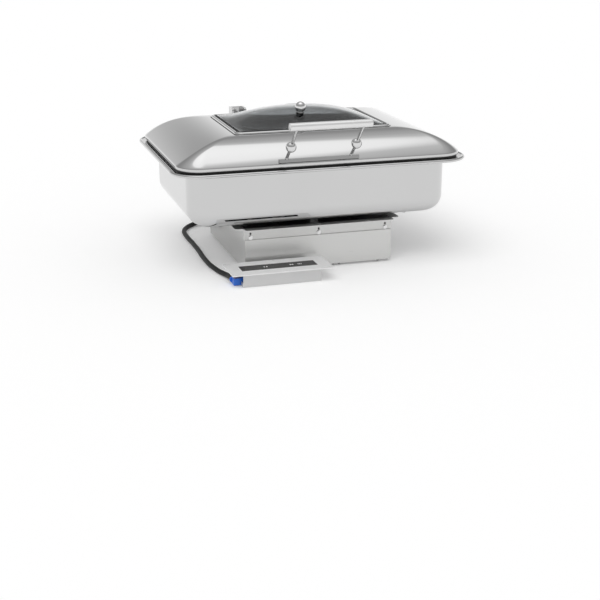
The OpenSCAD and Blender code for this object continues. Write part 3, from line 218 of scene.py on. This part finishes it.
MATERIALS = {
    "polished": metal("polished_steel", grey(0.6), 0.055, spread=0.02, stretch=(1, 1, 1), scale=8, tint=0.02),
    "sheet": metal("satin_sheet", (0.66, 0.66, 0.65), 0.3, 0.15, (1, 60, 60), share=0.6),
    "plate": metal("satin_plate", grey(0.56), 0.24, 0.1, (1, 60, 60)),
    "tube": metal("satin_tube", grey(0.8), 0.3, 0.1, (1, 40, 40), share=0.6),
    "chrome": metal("chrome", grey(0.7), 0.05, spread=0.02),
    "fitting": metal("fitting_steel", grey(0.6), 0.12, 0.05),
    "dark_strip": metal("dark_strip", grey(0.3), 0.28, 0.1, (1, 60, 60)),
    "screw_dark": metal("dark_screws", grey(0.16), 0.4),
    "food": metal("food_steel", grey(0.7), 0.2, 0.05, spread=0.04),
    "base": metal("base_steel", (0.34, 0.34, 0.35), 0.45, 0.1),
    "panel": metal("panel_steel", grey(0.88), 0.4, 0.1, (1, 60, 60), share=0.1),
    "tray": metal("tray_steel", grey(0.66), 0.34, 0.1, (1, 60, 60), share=0.4),
    "aluminium": metal("mill_aluminium", (0.72, 0.73, 0.75), 0.35, 0.2, (60, 1, 60)),
    "copper": metal("enamelled_copper", (0.6, 0.25, 0.08), 0.3, 0.3, (1, 1, 1), scale=300),
    "brass": metal("brass", (0.75, 0.52, 0.22), 0.25),
    "contact": metal("plated_contact", (0.9, 0.5, 0.2), 0.25),
    "star": solid("spacer_grey", grey(0.42), 0.55, 500, 0.15, 0.06),
    "cap": solid("sensor_grey", grey(0.22), 0.3, 600, 0.05, 0.06),
    "rubber": solid("seal_rubber", grey(0.012), 0.55, 500, 0.2),
    "feet": solid("feet_rubber", grey(0.02), 0.7, 500, 0.3),
    "lead": solid("lead_rubber", grey(0.008), 0.5, 350, 0.1, spec=0.25),
    "guide": solid("guide_plastic", (0.62, 0.62, 0.58), 0.5),
    "ferrite": solid("ferrite", (0.05, 0.05, 0.055), 0.6),
    "mica": solid("mica", (0.66, 0.56, 0.38), 0.35, 90, 0.1, 0.25),
    "sleeve": solid("capacitor_sleeve", (0.04, 0.07, 0.2), 0.3, coat=0.3),
    "terminal": solid("terminal_plastic", (0.05, 0.25, 0.12), 0.45),
    "black": solid("black_plastic", grey(0.02), 0.5, 450, 0.25),
    "touch": solid("touch_glass", grey(0.012), 0.12, 30, 0.0, 0.1, spec=0.25),
    "connector": solid("connector_blue", (0.02, 0.16, 0.72), 0.35, 500, 0.05, 0.08),
    "mark_white": solid("mark_white", grey(0.85), 0.6, 500, 0.0, 0.04),
    "mark_grey": solid("mark_grey", grey(0.06), 0.6, 500, 0.0, 0.1),
    "mark_red": solid("mark_red", (0.32, 0.05, 0.03), 0.6, 500, 0.0, 0.1),
    "glass": glass_material(),
    "board": board_material(),
}
NODE_MATERIALS = {
    "sheet": ["lower_housing", "bottom_cover", "mounting_frame"],
    "plate": ["top_plate"],
    "chrome": ["frame_screws"],
    "fitting": ["hinge_brackets", "hinge_arms", "hinge_pins", "knob_nut", "window_retainer", "sensor_spring"],
    "dark_strip": ["handle_strip"],
    "screw_dark": ["cover_screws"],
    "base": ["induction_base"],
    "panel": ["panel_plate"],
    "tray": ["panel_channel", "panel_tray"],
    "aluminium": ["coil_carrier", "heat_sink"],
    "copper": ["coil_winding"],
    "brass": ["board_standoffs", "inlet_pins"],
    "contact": ["connector_contacts"],
    "star": ["star_spacer"],
    "cap": ["sensor_cap"],
    "rubber": ["lid_seal", "window_gasket", "knob_washer"],
    "feet": ["rubber_feet"],
    "guide": ["sensor_guide"],
    "ferrite": ["ferrite_bars"],
    "mica": ["mica_sheet"],
    "sleeve": ["capacitors"],
    "terminal": ["terminal_block"],
    "black": ["fan_housing", "fan_rotor", "mains_inlet", "lead_gland"],
    "touch": ["touch_glass"],
    "connector": ["lead_connector"],
    "board": ["power_board", "panel_board"],
}


def paint_nodes():
    """Give each CAD node that stays in view its material."""
    for key, names in NODE_MATERIALS.items():
        for name in names:
            for place in NODES[name].material_slots:
                place.link = "OBJECT"
                place.material = MATERIALS[key]


paint_nodes()


# Meshes

def piece(name, verts, faces, material, body, replaced=(), sharp=35, weighted=True):
    """A smooth mesh of points in millimetres that rides on a body."""
    mesh = bpy.data.meshes.new(name)
    mesh.from_pydata([(x * MM, (y + MID_Y) * MM, z * MM) for x, y, z in verts], [], faces)
    mesh.update()
    mesh.shade_smooth()
    mesh.set_sharp_from_angle(angle=math.radians(sharp))
    mesh.materials.append(MATERIALS[material])
    obj = bpy.data.objects.new(name, mesh)
    scene.collection.objects.link(obj)
    if weighted:
        obj.modifiers.new("normals", "WEIGHTED_NORMAL").keep_sharp = True
    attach(obj, body)
    if replaced:
        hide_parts(*replaced)
    return obj


CORNER_STEPS = 14
SIDE_SHARES = (0.01, 0.25, 0.5, 0.75, 0.99)


def ring(half_w, half_d, r, z, mid_y=0.0):
    """Points of a rectangle with round corners, going round from the right side."""
    points = []
    for k, (side_x, side_y) in enumerate(((1, 1), (-1, 1), (-1, -1), (1, -1))):
        corner_x, corner_y = side_x * (half_w - r), mid_y + side_y * (half_d - r)
        for i in range(CORNER_STEPS + 1):
            a = math.radians(90 * (k + i / CORNER_STEPS))
            points.append((corner_x + r * math.cos(a), corner_y + r * math.sin(a), z))
        last = points[-1]
        turn = math.radians(90 * k + 90)
        along = (-math.sin(turn), math.cos(turn))
        run = 2 * ((half_d if k % 2 else half_w) - r)
        for share in SIDE_SHARES:
            points.append((last[0] + along[0] * run * share, last[1] + along[1] * run * share, z))
    return points


def loft(rings, cap_first=False, cap_last=False, closed=False):
    """Skin over rings with the same number of points, outside on the right of their order."""
    n = len(rings[0])
    verts = [p for one in rings for p in one]
    faces = []
    count = len(rings) if closed else len(rings) - 1
    for j in range(count):
        a, b = j * n, (j + 1) % len(rings) * n
        for i in range(n):
            k = (i + 1) % n
            faces.append((a + i, a + k, b + k, b + i))
    if cap_first:
        faces.append(tuple(range(n - 1, -1, -1)))
    if cap_last:
        faces.append(tuple(range((len(rings) - 1) * n, len(rings) * n)))
    return verts, faces


def rounded(path, radii, steps=5):
    """A path of (p, z) points with its inner corners rounded by the given radii."""
    out = [path[0]]
    for i in range(1, len(path) - 1):
        here, r = Vector(path[i]), radii[i - 1]
        if not r:
            out.append(path[i])
            continue
        before, after = Vector(path[i - 1]) - here, Vector(path[i + 1]) - here
        reach = min(r, before.length * 0.49, after.length * 0.49)
        a, b = here + before.normalized() * reach, here + after.normalized() * reach
        for s in range(steps + 1):
            t = s / steps
            q = a * (1 - t) ** 2 + here * (2 * t * (1 - t)) + b * t ** 2
            out.append((q.x, q.y))
    out.append(path[-1])
    return out


def around(w, d, r, path, mid_y=0.0):
    """Rings of a (p, z) path round a rectangle whose corner centres lie r inside w and d."""
    return [ring(w / 2 - r + p, d / 2 - r + p, p, z, mid_y) for p, z in path]


def arc(mid_p, mid_z, r, start, end, steps):
    """Points of an arc in a (p, z) path, from one angle to another in degrees."""
    turns = [math.radians(start + (end - start) * i / steps) for i in range(steps + 1)]
    return [(mid_p + r * math.cos(a), mid_z + r * math.sin(a)) for a in turns]


def revolved(profile, steps=48):
    """Rings of an (r, z) profile round the Z axis."""
    turns = [2 * math.pi * i / steps for i in range(steps)]
    return [[(r * math.cos(a), r * math.sin(a), z) for a in turns] for r, z in profile]


def moved(verts, offset, along_x=False):
    """Points shifted, after the Z axis is laid along X where asked."""
    ox, oy, oz = offset
    if along_x:
        return [(z + ox, y + oy, -x + oz) for x, y, z in verts]
    return [(x + ox, y + oy, z + oz) for x, y, z in verts]


def tube(path, radii, steps=28):
    """Tube along a path in the YZ plane, closed at both ends."""
    turns = [2 * math.pi * k / steps for k in range(steps)]
    side = Vector((1, 0, 0))
    rings = []
    for i, (place, r) in enumerate(zip(path, radii)):
        ahead = Vector(path[min(i + 1, len(path) - 1)]) - Vector(path[max(i - 1, 0)])
        up = side.cross(ahead.normalized())
        rings.append([tuple(Vector(place) + r * (math.cos(a) * side + math.sin(a) * up)) for a in turns])
    return loft(rings, True, True)


def joined(*parts):
    """One mesh of several."""
    verts, faces = [], []
    for v, f in parts:
        base = len(verts)
        verts += v
        faces += [tuple(i + base for i in one) for one in f]
    return verts, faces


# Control lead

def make_lead():
    """The lead from the unit's back, round its left side, to the panel's connector."""
    curve = bpy.data.curves.new("lead", "CURVE")
    curve.dimensions = "3D"
    curve.bevel_depth = LEAD_D / 2 * MM
    curve.bevel_resolution = 6
    curve.resolution_u = 8
    curve.use_fill_caps = True
    spline = curve.splines.new("BEZIER")
    spline.bezier_points.add(len(LEAD) - 1)
    for point, (x, y, z) in zip(spline.bezier_points, LEAD):
        point.co = (x * MM, (y + MID_Y) * MM, z * MM)
        point.handle_left_type = point.handle_right_type = "AUTO"
    curve.materials.append(MATERIALS["lead"])
    obj = bpy.data.objects.new("lead", curve)
    scene.collection.objects.link(obj)
    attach(obj, "unit")
    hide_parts("control_lead")
    x, y, z = LEAD[0]


make_lead()


# Chafer body with its rolled rim, and the food pan

def make_body():
    """Pressed body: outside wall, rolled rim, ledge for the pan, and inside wall."""
    bottom_p, bottom_z, wall_z = BODY_R - BOTTOM_R, Z_BODY + BOTTOM_R, Z_BODY + 60
    under_shelf, under_land = Z_SHELF - SHEET, Z_LAND - SHEET
    outside = arc(bottom_p, bottom_z, BOTTOM_R, -90, 0, 12)
    rings = around(BODY_W, BODY_D, BODY_R, outside + [(BODY_R, wall_z), (BODY_R, under_shelf)])
    step = RIM_R - LAND_W
    roll_p, roll_z = RIM_R - ROLL_R, Z_RIM + ROLL_R
    under_end, land_end = roll_p - 2.2, roll_p - 3.4
    under = rounded([(step + 1.5, under_shelf), (step + SHEET, under_shelf), (step + SHEET, under_land),
                     (under_end, under_land)], [0, 1])
    roll = arc(roll_p, roll_z, ROLL_R, 200, 500, 24)
    land = rounded([(land_end, Z_LAND), (step, Z_LAND), (step, Z_SHELF), (step - 2, Z_SHELF)], [2.5, 1.5])
    rings += around(RIM_W, RIM_D, RIM_R, under + roll + land)
    rings += [ring(OPEN_W / 2, OPEN_D / 2, OPEN_R, z) for z in (Z_SHELF, under_shelf)]
    inside = [(BODY_R - SHEET, under_shelf), (BODY_R - SHEET, bottom_z)]
    inside += arc(bottom_p, bottom_z, BOTTOM_R - SHEET, 0, -90, 12)[1:]
    rings += around(BODY_W, BODY_D, BODY_R, inside)
    verts, faces = loft(rings, True, True)
    piece("chafer_shell", verts, faces, "polished", "chafer", ["chafer_body"], sharp=50)


def make_food_pan():
    """Pressed pan: outside wall, flange with softened edges, and inside wall."""
    bottom_p, bottom_z = PAN_R - PAN_EDGE, PAN_LOW + PAN_EDGE
    top, soft = Z_SHELF + SHEET, 0.4
    outside = arc(bottom_p, bottom_z, PAN_EDGE, -90, 0, 8)
    rings = around(PAN_W, PAN_D, PAN_R, outside + [(PAN_R, Z_SHELF)])
    flange = (FLANGE_W - PAN_W) / 2 + PAN_R
    edge = [(flange - soft, Z_SHELF), (flange, Z_SHELF + soft), (flange, top - soft), (flange - soft, top)]
    rings += around(PAN_W, PAN_D, PAN_R, edge)
    inside = rounded([(flange - 1, top), (PAN_R - SHEET, top), (PAN_R - SHEET, top - 12)], [3])
    inside += arc(bottom_p, bottom_z, PAN_EDGE - SHEET, 0, -90, 8)
    rings += around(PAN_W, PAN_D, PAN_R, inside)
    verts, faces = loft(rings, True, True)
    piece("food_pan_shell", verts, faces, "food", "chafer", ["food_pan"], sharp=50)


# Lid

# Corner radius that the dome shrinks to, and how much it grows again towards the window
DOME_R, DOME_R_MORE = 9, 3
DOME_STEPS = 44


def dome_z(u):
    """Height of the dome, from its edge at u = 0 to the window at u = 1."""
    return Z_DOME + DOME_H * (1 - (1 - u) ** DOME_POWER)


def dome_ring(u, inset, drop):
    """Ring of the dome between the edge, u = 0, and the window, u = 1."""
    half_w = LID_W / 2 + (WIN_W - LID_W) / 2 * u - inset
    front = -LID_D / 2 + (LID_D / 2 + WIN_Y - WIN_D / 2) * u + inset
    back = LID_D / 2 - (LID_D / 2 - WIN_Y - WIN_D / 2) * u - inset
    r = DOME_R + (LID_R - DOME_R) * (1 - u) ** 4 + DOME_R_MORE * u ** 4 - inset
    return ring(half_w, (back - front) / 2, max(r, 2), dome_z(u) - drop, (front + back) / 2)


def lid_rings(path):
    """Rings of the lid's upright edge, from how far in and how high each lies."""
    return [ring(LID_W / 2 - inset, LID_D / 2 - inset, LID_R - inset, z) for inset, z in path]


def make_lid():
    """Lid: upright edge, dome, hole under the glass, and the same back on the inside."""
    shares = [(i / DOME_STEPS) ** 1.15 for i in range(DOME_STEPS + 1)]
    rings = lid_rings([(HEM_W, Z_LID), (0.8, Z_LID), (0.2, Z_LID + 0.3), (0, Z_LID + 0.9), (0, Z_LID + 2),
                       (0, Z_DOME - 1.2), (0.1, Z_DOME - 0.4)])
    rings += [dome_ring(u, 0.25 if u == 0 else 0, 0) for u in shares]
    rings += [ring(WIN_W / 2 - 7, WIN_D / 2 - 7, HOLE_R, Z_CROWN, WIN_Y)]
    rings += [ring(HOLE_W / 2, HOLE_D / 2, HOLE_R, z, WIN_Y) for z in (Z_CROWN, Z_CROWN - SHEET)]
    rings += [dome_ring(u, SHEET * 0.8, SHEET) for u in reversed(shares)]
    rings += lid_rings([(SHEET, Z_DOME - 2.5), (SHEET, Z_LID + SHEET), (HEM_W, Z_LID + SHEET)])
    verts, faces = loft(rings, closed=True)
    piece("lid_dome", verts, faces, "polished", "lid", ["lid_shell"],
          sharp=50, weighted=False)


def crown(u, v):
    """Rise of the glass, from shares of -1 to 1 across and along it."""
    return GLASS_CROWN * (1 - abs(u) ** CROWN_POWER) * (1 - abs(v) ** CROWN_POWER)


def make_window_bead():
    """Half-round bead round the window."""
    half, low = BEAD / 2, Z_CROWN + 0.02
    path = [(WIN_R - 0.05, low)] + arc(WIN_R - half, Z_CROWN, half, 4, 176, 14) + [(WIN_R - BEAD + 0.05, low)]
    verts, faces = loft(around(WIN_W, WIN_D, WIN_R, path, WIN_Y), closed=True)
    piece("window_bead", verts, faces, "polished", "lid", ["window_frame"], sharp=60)


def make_window_shade_line():
    """Near-black strip round the bead, in the seal rubber: painted shade of the groove where the bead meets
    the dome.
    """
    low = Z_CROWN - 0.1
    path = [(1.5, low), (1.3, Z_CROWN + 0.35), (0.1, Z_CROWN + 0.5), (0.1, low)]
    rings = [ring(WIN_W / 2 + out, WIN_D / 2 + out, WIN_R + out, z, WIN_Y) for out, z in path]
    verts, faces = loft(rings, closed=True)
    # Painted shade: a dark strip standing in for the groove's shadow at the bead's outer edge
    piece("window_shade_line", verts, faces, "rubber", "lid", sharp=40)


PANE_ACROSS, PANE_DEEP = 72, 52


def make_glass_pane():
    """Crowned pane: a grid of points above and below, joined round the edge."""
    row = PANE_ACROSS + 1
    top, low = [], []
    for j in range(PANE_DEEP + 1):
        for i in range(row):
            u, v = 2 * i / PANE_ACROSS - 1, 2 * j / PANE_DEEP - 1
            rise = crown(u, v)
            top.append((u * GLASS_W / 2, WIN_Y + v * GLASS_D / 2, Z_CROWN + GLASS_T + rise))
            low.append((u * GLASS_W / 2, WIN_Y + v * GLASS_D / 2, Z_CROWN + rise))
    n = len(top)
    faces = []
    for j in range(PANE_DEEP):
        for i in range(PANE_ACROSS):
            a = j * row + i
            faces.append((a, a + 1, a + row + 1, a + row))
            faces.append((n + a, n + a + row, n + a + row + 1, n + a + 1))
    edge = list(range(PANE_ACROSS))
    edge += [j * row + PANE_ACROSS for j in range(PANE_DEEP)]
    edge += [PANE_DEEP * row + i for i in range(PANE_ACROSS, 0, -1)]
    edge += [j * row for j in range(PANE_DEEP, 0, -1)]
    for a, b in zip(edge, edge[1:] + edge[:1]):
        faces.append((a, n + a, n + b, b))
    piece("glass_pane", top + low, faces, "glass", "lid", ["window_glass"],
          sharp=50, weighted=False)


def make_knob():
    """Ball knob, square to the glass where it stands."""
    ball_r, base_r, stem_r, stem_low = KNOB_D / 2, 6, 3, -10.4
    profile = [(stem_r, stem_low), (stem_r, KNOB_PAD), (base_r - 0.6, KNOB_PAD), (base_r, KNOB_PAD + 0.4),
               (base_r, KNOB_PAD + 1.1), (base_r - 0.4, KNOB_PAD + 1.5), (base_r - 1.6, KNOB_PAD + 1.6)]
    profile += arc(0, KNOB_PAD + 0.5 + ball_r, ball_r, -66, 89, 30)
    verts, faces = loft(revolved(profile, 64), True, True)
    u, v = KNOB_X / (GLASS_W / 2), KNOB_FRONT / (GLASS_D / 2)
    slope = GLASS_CROWN * (1 - abs(u) ** CROWN_POWER) * CROWN_POWER * v ** (CROWN_POWER - 1) / (GLASS_D / 2)
    lean = math.atan(slope)
    verts = [(x, y * math.cos(lean) - z * math.sin(lean), y * math.sin(lean) + z * math.cos(lean))
             for x, y, z in verts]
    foot = (KNOB_X, WIN_Y - KNOB_FRONT, Z_CROWN + GLASS_T + crown(u, v))
    piece("knob_ball", moved(verts, foot), faces, "chrome", "lid", ["window_knob"],
          sharp=40, weighted=False)


def turned(profile, steps, place):
    """Closed turned part at a place."""
    verts, faces = loft(revolved(profile, steps), True, True)
    return moved(verts, place), faces


def make_posts():
    """Two posts, each a foot, two rods with a ball between them, and a collar under the grip."""
    up = Vector((0, GRIP_Y - BALL_Y, GRIP_Z - BALL_Z)).normalized()
    foot = [(3.3, 0.02), (3.5, 0.3), (3.5, 2.4), (3.1, 3), (2.9, 3)]
    rod = [POST_D / 2] * 2
    for name, x in (("post_left", HANDLE_X - POST_X), ("post_right", HANDLE_X + POST_X)):
        ball = (x, BALL_Y, BALL_Z)
        end = Vector((x, GRIP_Y, GRIP_Z)) - up * (GRIP_D / 2 - 0.3)
        verts, faces = joined(
            turned(foot, 32, (x, FOOT_Y, FOOT_Z)),
            tube([(x, FOOT_Y, FOOT_Z + 2.4), ball], rod),
            turned(arc(0, 0, BALL_D / 2, -89, 89, 28), 48, ball),
            tube([ball, tuple(end)], rod),
            tube([tuple(end - up * back) for back in (2.6, 2.4, 0.1, 0)], [3.1, 3.9, 3.9, 3.9]),
        )
        piece(name, verts, faces, "chrome", "lid",
              ["handle_posts"] if name == "post_left" else [], sharp=40, weighted=False)


def make_grip():
    """Tube of the grip, and a cap in each of its ends."""
    r, half = GRIP_D / 2, GRIP_L / 2
    bore = r - GRIP_WALL
    right = [(r, half - 4), (r, half - 0.9), (r - 0.2, half - 0.3), (r - 0.8, half), (bore + 0.4, half),
             (bore, half - 0.4), (bore, half - 1.2)]
    left = [(p, -along) for p, along in reversed(right)]
    verts, faces = loft(revolved(left + right, 56), closed=True)
    piece("grip_tube", moved(verts, (HANDLE_X, GRIP_Y, GRIP_Z), True), faces, "tube", "lid",
          ["handle_grip"], sharp=50)
    cap = [(bore - 0.1, half - 7), (bore - 0.1, half - 0.9), (bore - 0.9, half - 0.3), (0.4, half - 0.1)]
    for name, side in (("grip_end_left", -1), ("grip_end_right", 1)):
        verts, faces = loft(revolved(cap, 40), True, True)
        verts = [(x * side + HANDLE_X, y, z) for x, y, z in moved(verts, (0, GRIP_Y, GRIP_Z), True)]
        if side < 0:
            faces = [tuple(reversed(f)) for f in faces]
        piece(name, verts, faces, "tube", "lid", ["grip_caps"] if side < 0 else [], sharp=40)


make_body()
make_food_pan()
make_lid()
make_window_bead()
make_window_shade_line()
make_glass_pane()
make_knob()
make_posts()
make_grip()


# Marks on the plate and on the touch glass

def bar(x, y, length, width, turn, low, high):
    """Thin bar from a point, along a direction in degrees."""
    a = math.radians(turn)
    ux, uy = math.cos(a), math.sin(a)
    base = [(x + s * ux * length - t * uy * width / 2, y + s * uy * length + t * ux * width / 2)
            for s, t in ((0, -1), (1, -1), (1, 1), (0, 1))]
    verts = [(px, py, low) for px, py in base] + [(px, py, high) for px, py in base]
    return verts, [(3, 2, 1, 0), (4, 5, 6, 7), (0, 1, 5, 4), (1, 2, 6, 5), (2, 3, 7, 6), (3, 0, 4, 7)]


MARK_W, MARK_LOW, MARK_HIGH = 1.16, Z_TOP - 0.41, Z_TOP - 0.3
RAYS, RAY_IN, RAY_OUT = 8, 20, 95
RED_RAYS, RED_IN, RED_OUT = (1, 5), 28, 87
TICK_X, TICK_Y, TICK_SHORT, TICK_LONG = 76, 73, 32, 46
# How far the side ticks start from the plate's edge, and how far the other ticks stay clear of it
TICK_INSET, TICK_GAP = 7, 0.1


def make_plate_marks():
    """Rays round the sensor, two of them red, and ticks along the edges, filled in the plate's engraving."""
    plain, red, tips = [], [], []

    def mark(x, y, length, turn, drop=0.0):
        """Bar in the engraving, lower by drop where it crosses others."""
        return bar(x, y, length, MARK_W, turn, MARK_LOW - drop, MARK_HIGH - drop)

    for i in range(RAYS):
        turn = 360 / RAYS * (i + 0.5)
        across, along = math.cos(math.radians(turn)), math.sin(math.radians(turn))
        if i in RED_RAYS:
            red.append(mark(RED_IN * across, RED_IN * along, RED_OUT - RED_IN, turn))
            for start, end in ((RAY_IN, RED_IN), (RED_OUT, RAY_OUT)):
                tips.append(mark(start * across, start * along, end - start, turn))
        else:
            plain.append(mark(RAY_IN * across, RAY_IN * along, RAY_OUT - RAY_IN, turn))
    back_l = 1.2 * TICK_SHORT
    side_x, front_y, back_y = PLATE_W / 2 - TICK_INSET, TICK_GAP - PLATE_D / 2, PLATE_D / 2 - back_l
    for side in (-1, 1):
        inward = 180 if side > 0 else 0
        for step in (-1, 0, 1):
            length = TICK_SHORT if step else TICK_LONG
            plain.append(mark(side * side_x, step * TICK_Y, length, inward))
            plain.append(mark(step * TICK_X, front_y, length, 90))
        plain.append(mark(side * TICK_X, back_y, back_l - 2 * TICK_GAP, 90))
    plain.append(mark(-TICK_X, back_y, 2 * TICK_X, 0, 0.02))
    for name, marks, key in (("plate_lines", plain + tips, "mark_grey"),
                             ("plate_red_lines", red, "mark_red")):
        verts, faces = joined(*marks)
        piece(name, verts, faces, key, "unit", weighted=False)


def make_touch_marks():
    """Three plain groups of marks: two bars, two bars joined in the middle, and a small frame with a bar."""
    bars_x, bar_l, bar_w = (-27.5, -22.5, 24, 29), 5.2, 2.4
    frame_x, frame_w, frame_l, line_w = 39.4, 6.8, 6, 1
    low, high = PANEL_TOP + 0.01, PANEL_TOP + 0.1
    marks = [(x, -bar_l / 2, bar_l, bar_w, 90, high) for x in bars_x]
    marks.append((bars_x[2], 0, bars_x[3] - bars_x[2], 1.2, 0, high - 0.01))
    for x in (frame_x, frame_x + frame_w):
        marks.append((x, -frame_l / 2, frame_l, line_w, 90, high))
    for y in ((line_w - frame_l) / 2, (frame_l - line_w) / 2):
        marks.append((frame_x, y, frame_w, line_w, 0, high - 0.01))
    marks.append((frame_x + frame_w / 2, -1, 2, 1.6, 90, high))
    verts, faces = joined(*[bar(PANEL_X + x, PANEL_Y + y, length, width, turn, low, top)
                            for x, y, length, width, turn, top in marks])
    piece("touch_marks", verts, faces, "mark_white", "unit", weighted=False)


make_plate_marks()
make_touch_marks()


# Stage: floor, world and lamp

FLOOR_HALF, FLOOR_TONE, FLOOR_GLOW = 20, 0.92, 0.15
WORLD_LIGHT = 0.62
# What camera, metal and glass see of the studio: its brightness from the horizon at 0 to straight up at 1
STUDIO = [(0.0, 1), (0.16, 1), (0.28, 0.5), (0.4, 0.34), (0.6, 0.42), (0.84, 0.62), (0.9, 0.8), (0.93, 1.35),
          (1.0, 1.5)]
SUN_LIGHT, SUN_WIDTH, SUN_AHEAD = 1.1, 50, (0.35, 0.45, -1)


def background_rays(tree):
    """1 for the rays that show the background: from the camera, off metal and through glass."""
    path = tree.nodes.new("ShaderNodeLightPath")
    shown = path.outputs["Is Camera Ray"]
    for name in ("Is Glossy Ray", "Is Transmission Ray"):
        more = tree.nodes.new("ShaderNodeMath")
        more.operation = "MAXIMUM"
        tree.links.new(shown, more.inputs[0])
        tree.links.new(path.outputs[name], more.inputs[1])
        shown = more.outputs[0]
    return shown


def make_floor():
    """Pale floor that comes out white in the background and keeps the object's shadow."""
    mat, tree, bsdf = new_material("floor")
    out = tree.nodes["Material Output"]
    tree.nodes.remove(bsdf)
    diffuse = tree.nodes.new("ShaderNodeBsdfDiffuse")
    diffuse.inputs["Color"].default_value = (*grey(FLOOR_TONE), 1)
    glow = tree.nodes.new("ShaderNodeEmission")
    level = tree.nodes.new("ShaderNodeMath")
    level.operation = "MULTIPLY"
    level.inputs[1].default_value = FLOOR_GLOW
    tree.links.new(background_rays(tree), level.inputs[0])
    tree.links.new(level.outputs[0], glow.inputs["Strength"])
    add = tree.nodes.new("ShaderNodeAddShader")
    tree.links.new(diffuse.outputs[0], add.inputs[0])
    tree.links.new(glow.outputs[0], add.inputs[1])
    tree.links.new(add.outputs[0], out.inputs["Surface"])
    mesh = bpy.data.meshes.new("floor")
    corners = [(x * FLOOR_HALF, y * FLOOR_HALF, 0) for x, y in ((-1, -1), (1, -1), (1, 1), (-1, 1))]
    mesh.from_pydata(corners, [], [(0, 1, 2, 3)])
    mesh.materials.append(mat)
    floor = bpy.data.objects.new("floor", mesh)
    scene.collection.objects.link(floor)


def make_world():
    """Plain studio: white surround, grey ceiling and soft panel overhead, with even light on the object."""
    world = bpy.data.worlds.new("studio")
    scene.world = world
    world.use_nodes = True
    tree = world.node_tree
    tree.nodes.clear()
    out = tree.nodes.new("ShaderNodeOutputWorld")
    coord = tree.nodes.new("ShaderNodeTexCoord")
    split = tree.nodes.new("ShaderNodeSeparateXYZ")
    tree.links.new(coord.outputs["Generated"], split.inputs["Vector"])
    room = ramp(tree, split.outputs["Z"], [(height, grey(level)) for height, level in STUDIO])
    studio = tree.nodes.new("ShaderNodeBackground")
    tree.links.new(room.outputs["Color"], studio.inputs["Color"])
    lit = tree.nodes.new("ShaderNodeBackground")
    lit.inputs["Color"].default_value = (1, 1, 1, 1)
    lit.inputs["Strength"].default_value = WORLD_LIGHT
    pick = tree.nodes.new("ShaderNodeMixShader")
    tree.links.new(background_rays(tree), pick.inputs[0])
    tree.links.new(lit.outputs[0], pick.inputs[1])
    tree.links.new(studio.outputs[0], pick.inputs[2])
    tree.links.new(pick.outputs[0], out.inputs["Surface"])


def make_lamp():
    """Wide soft light from the upper left in front."""
    data = bpy.data.lights.new("key", "SUN")
    data.energy = SUN_LIGHT
    data.angle = math.radians(SUN_WIDTH)
    lamp = bpy.data.objects.new("key", data)
    lamp.rotation_euler = Vector(SUN_AHEAD).to_track_quat("-Z", "Y").to_euler()
    lamp.visible_glossy = False
    scene.collection.objects.link(lamp)


make_floor()
make_world()
make_lamp()
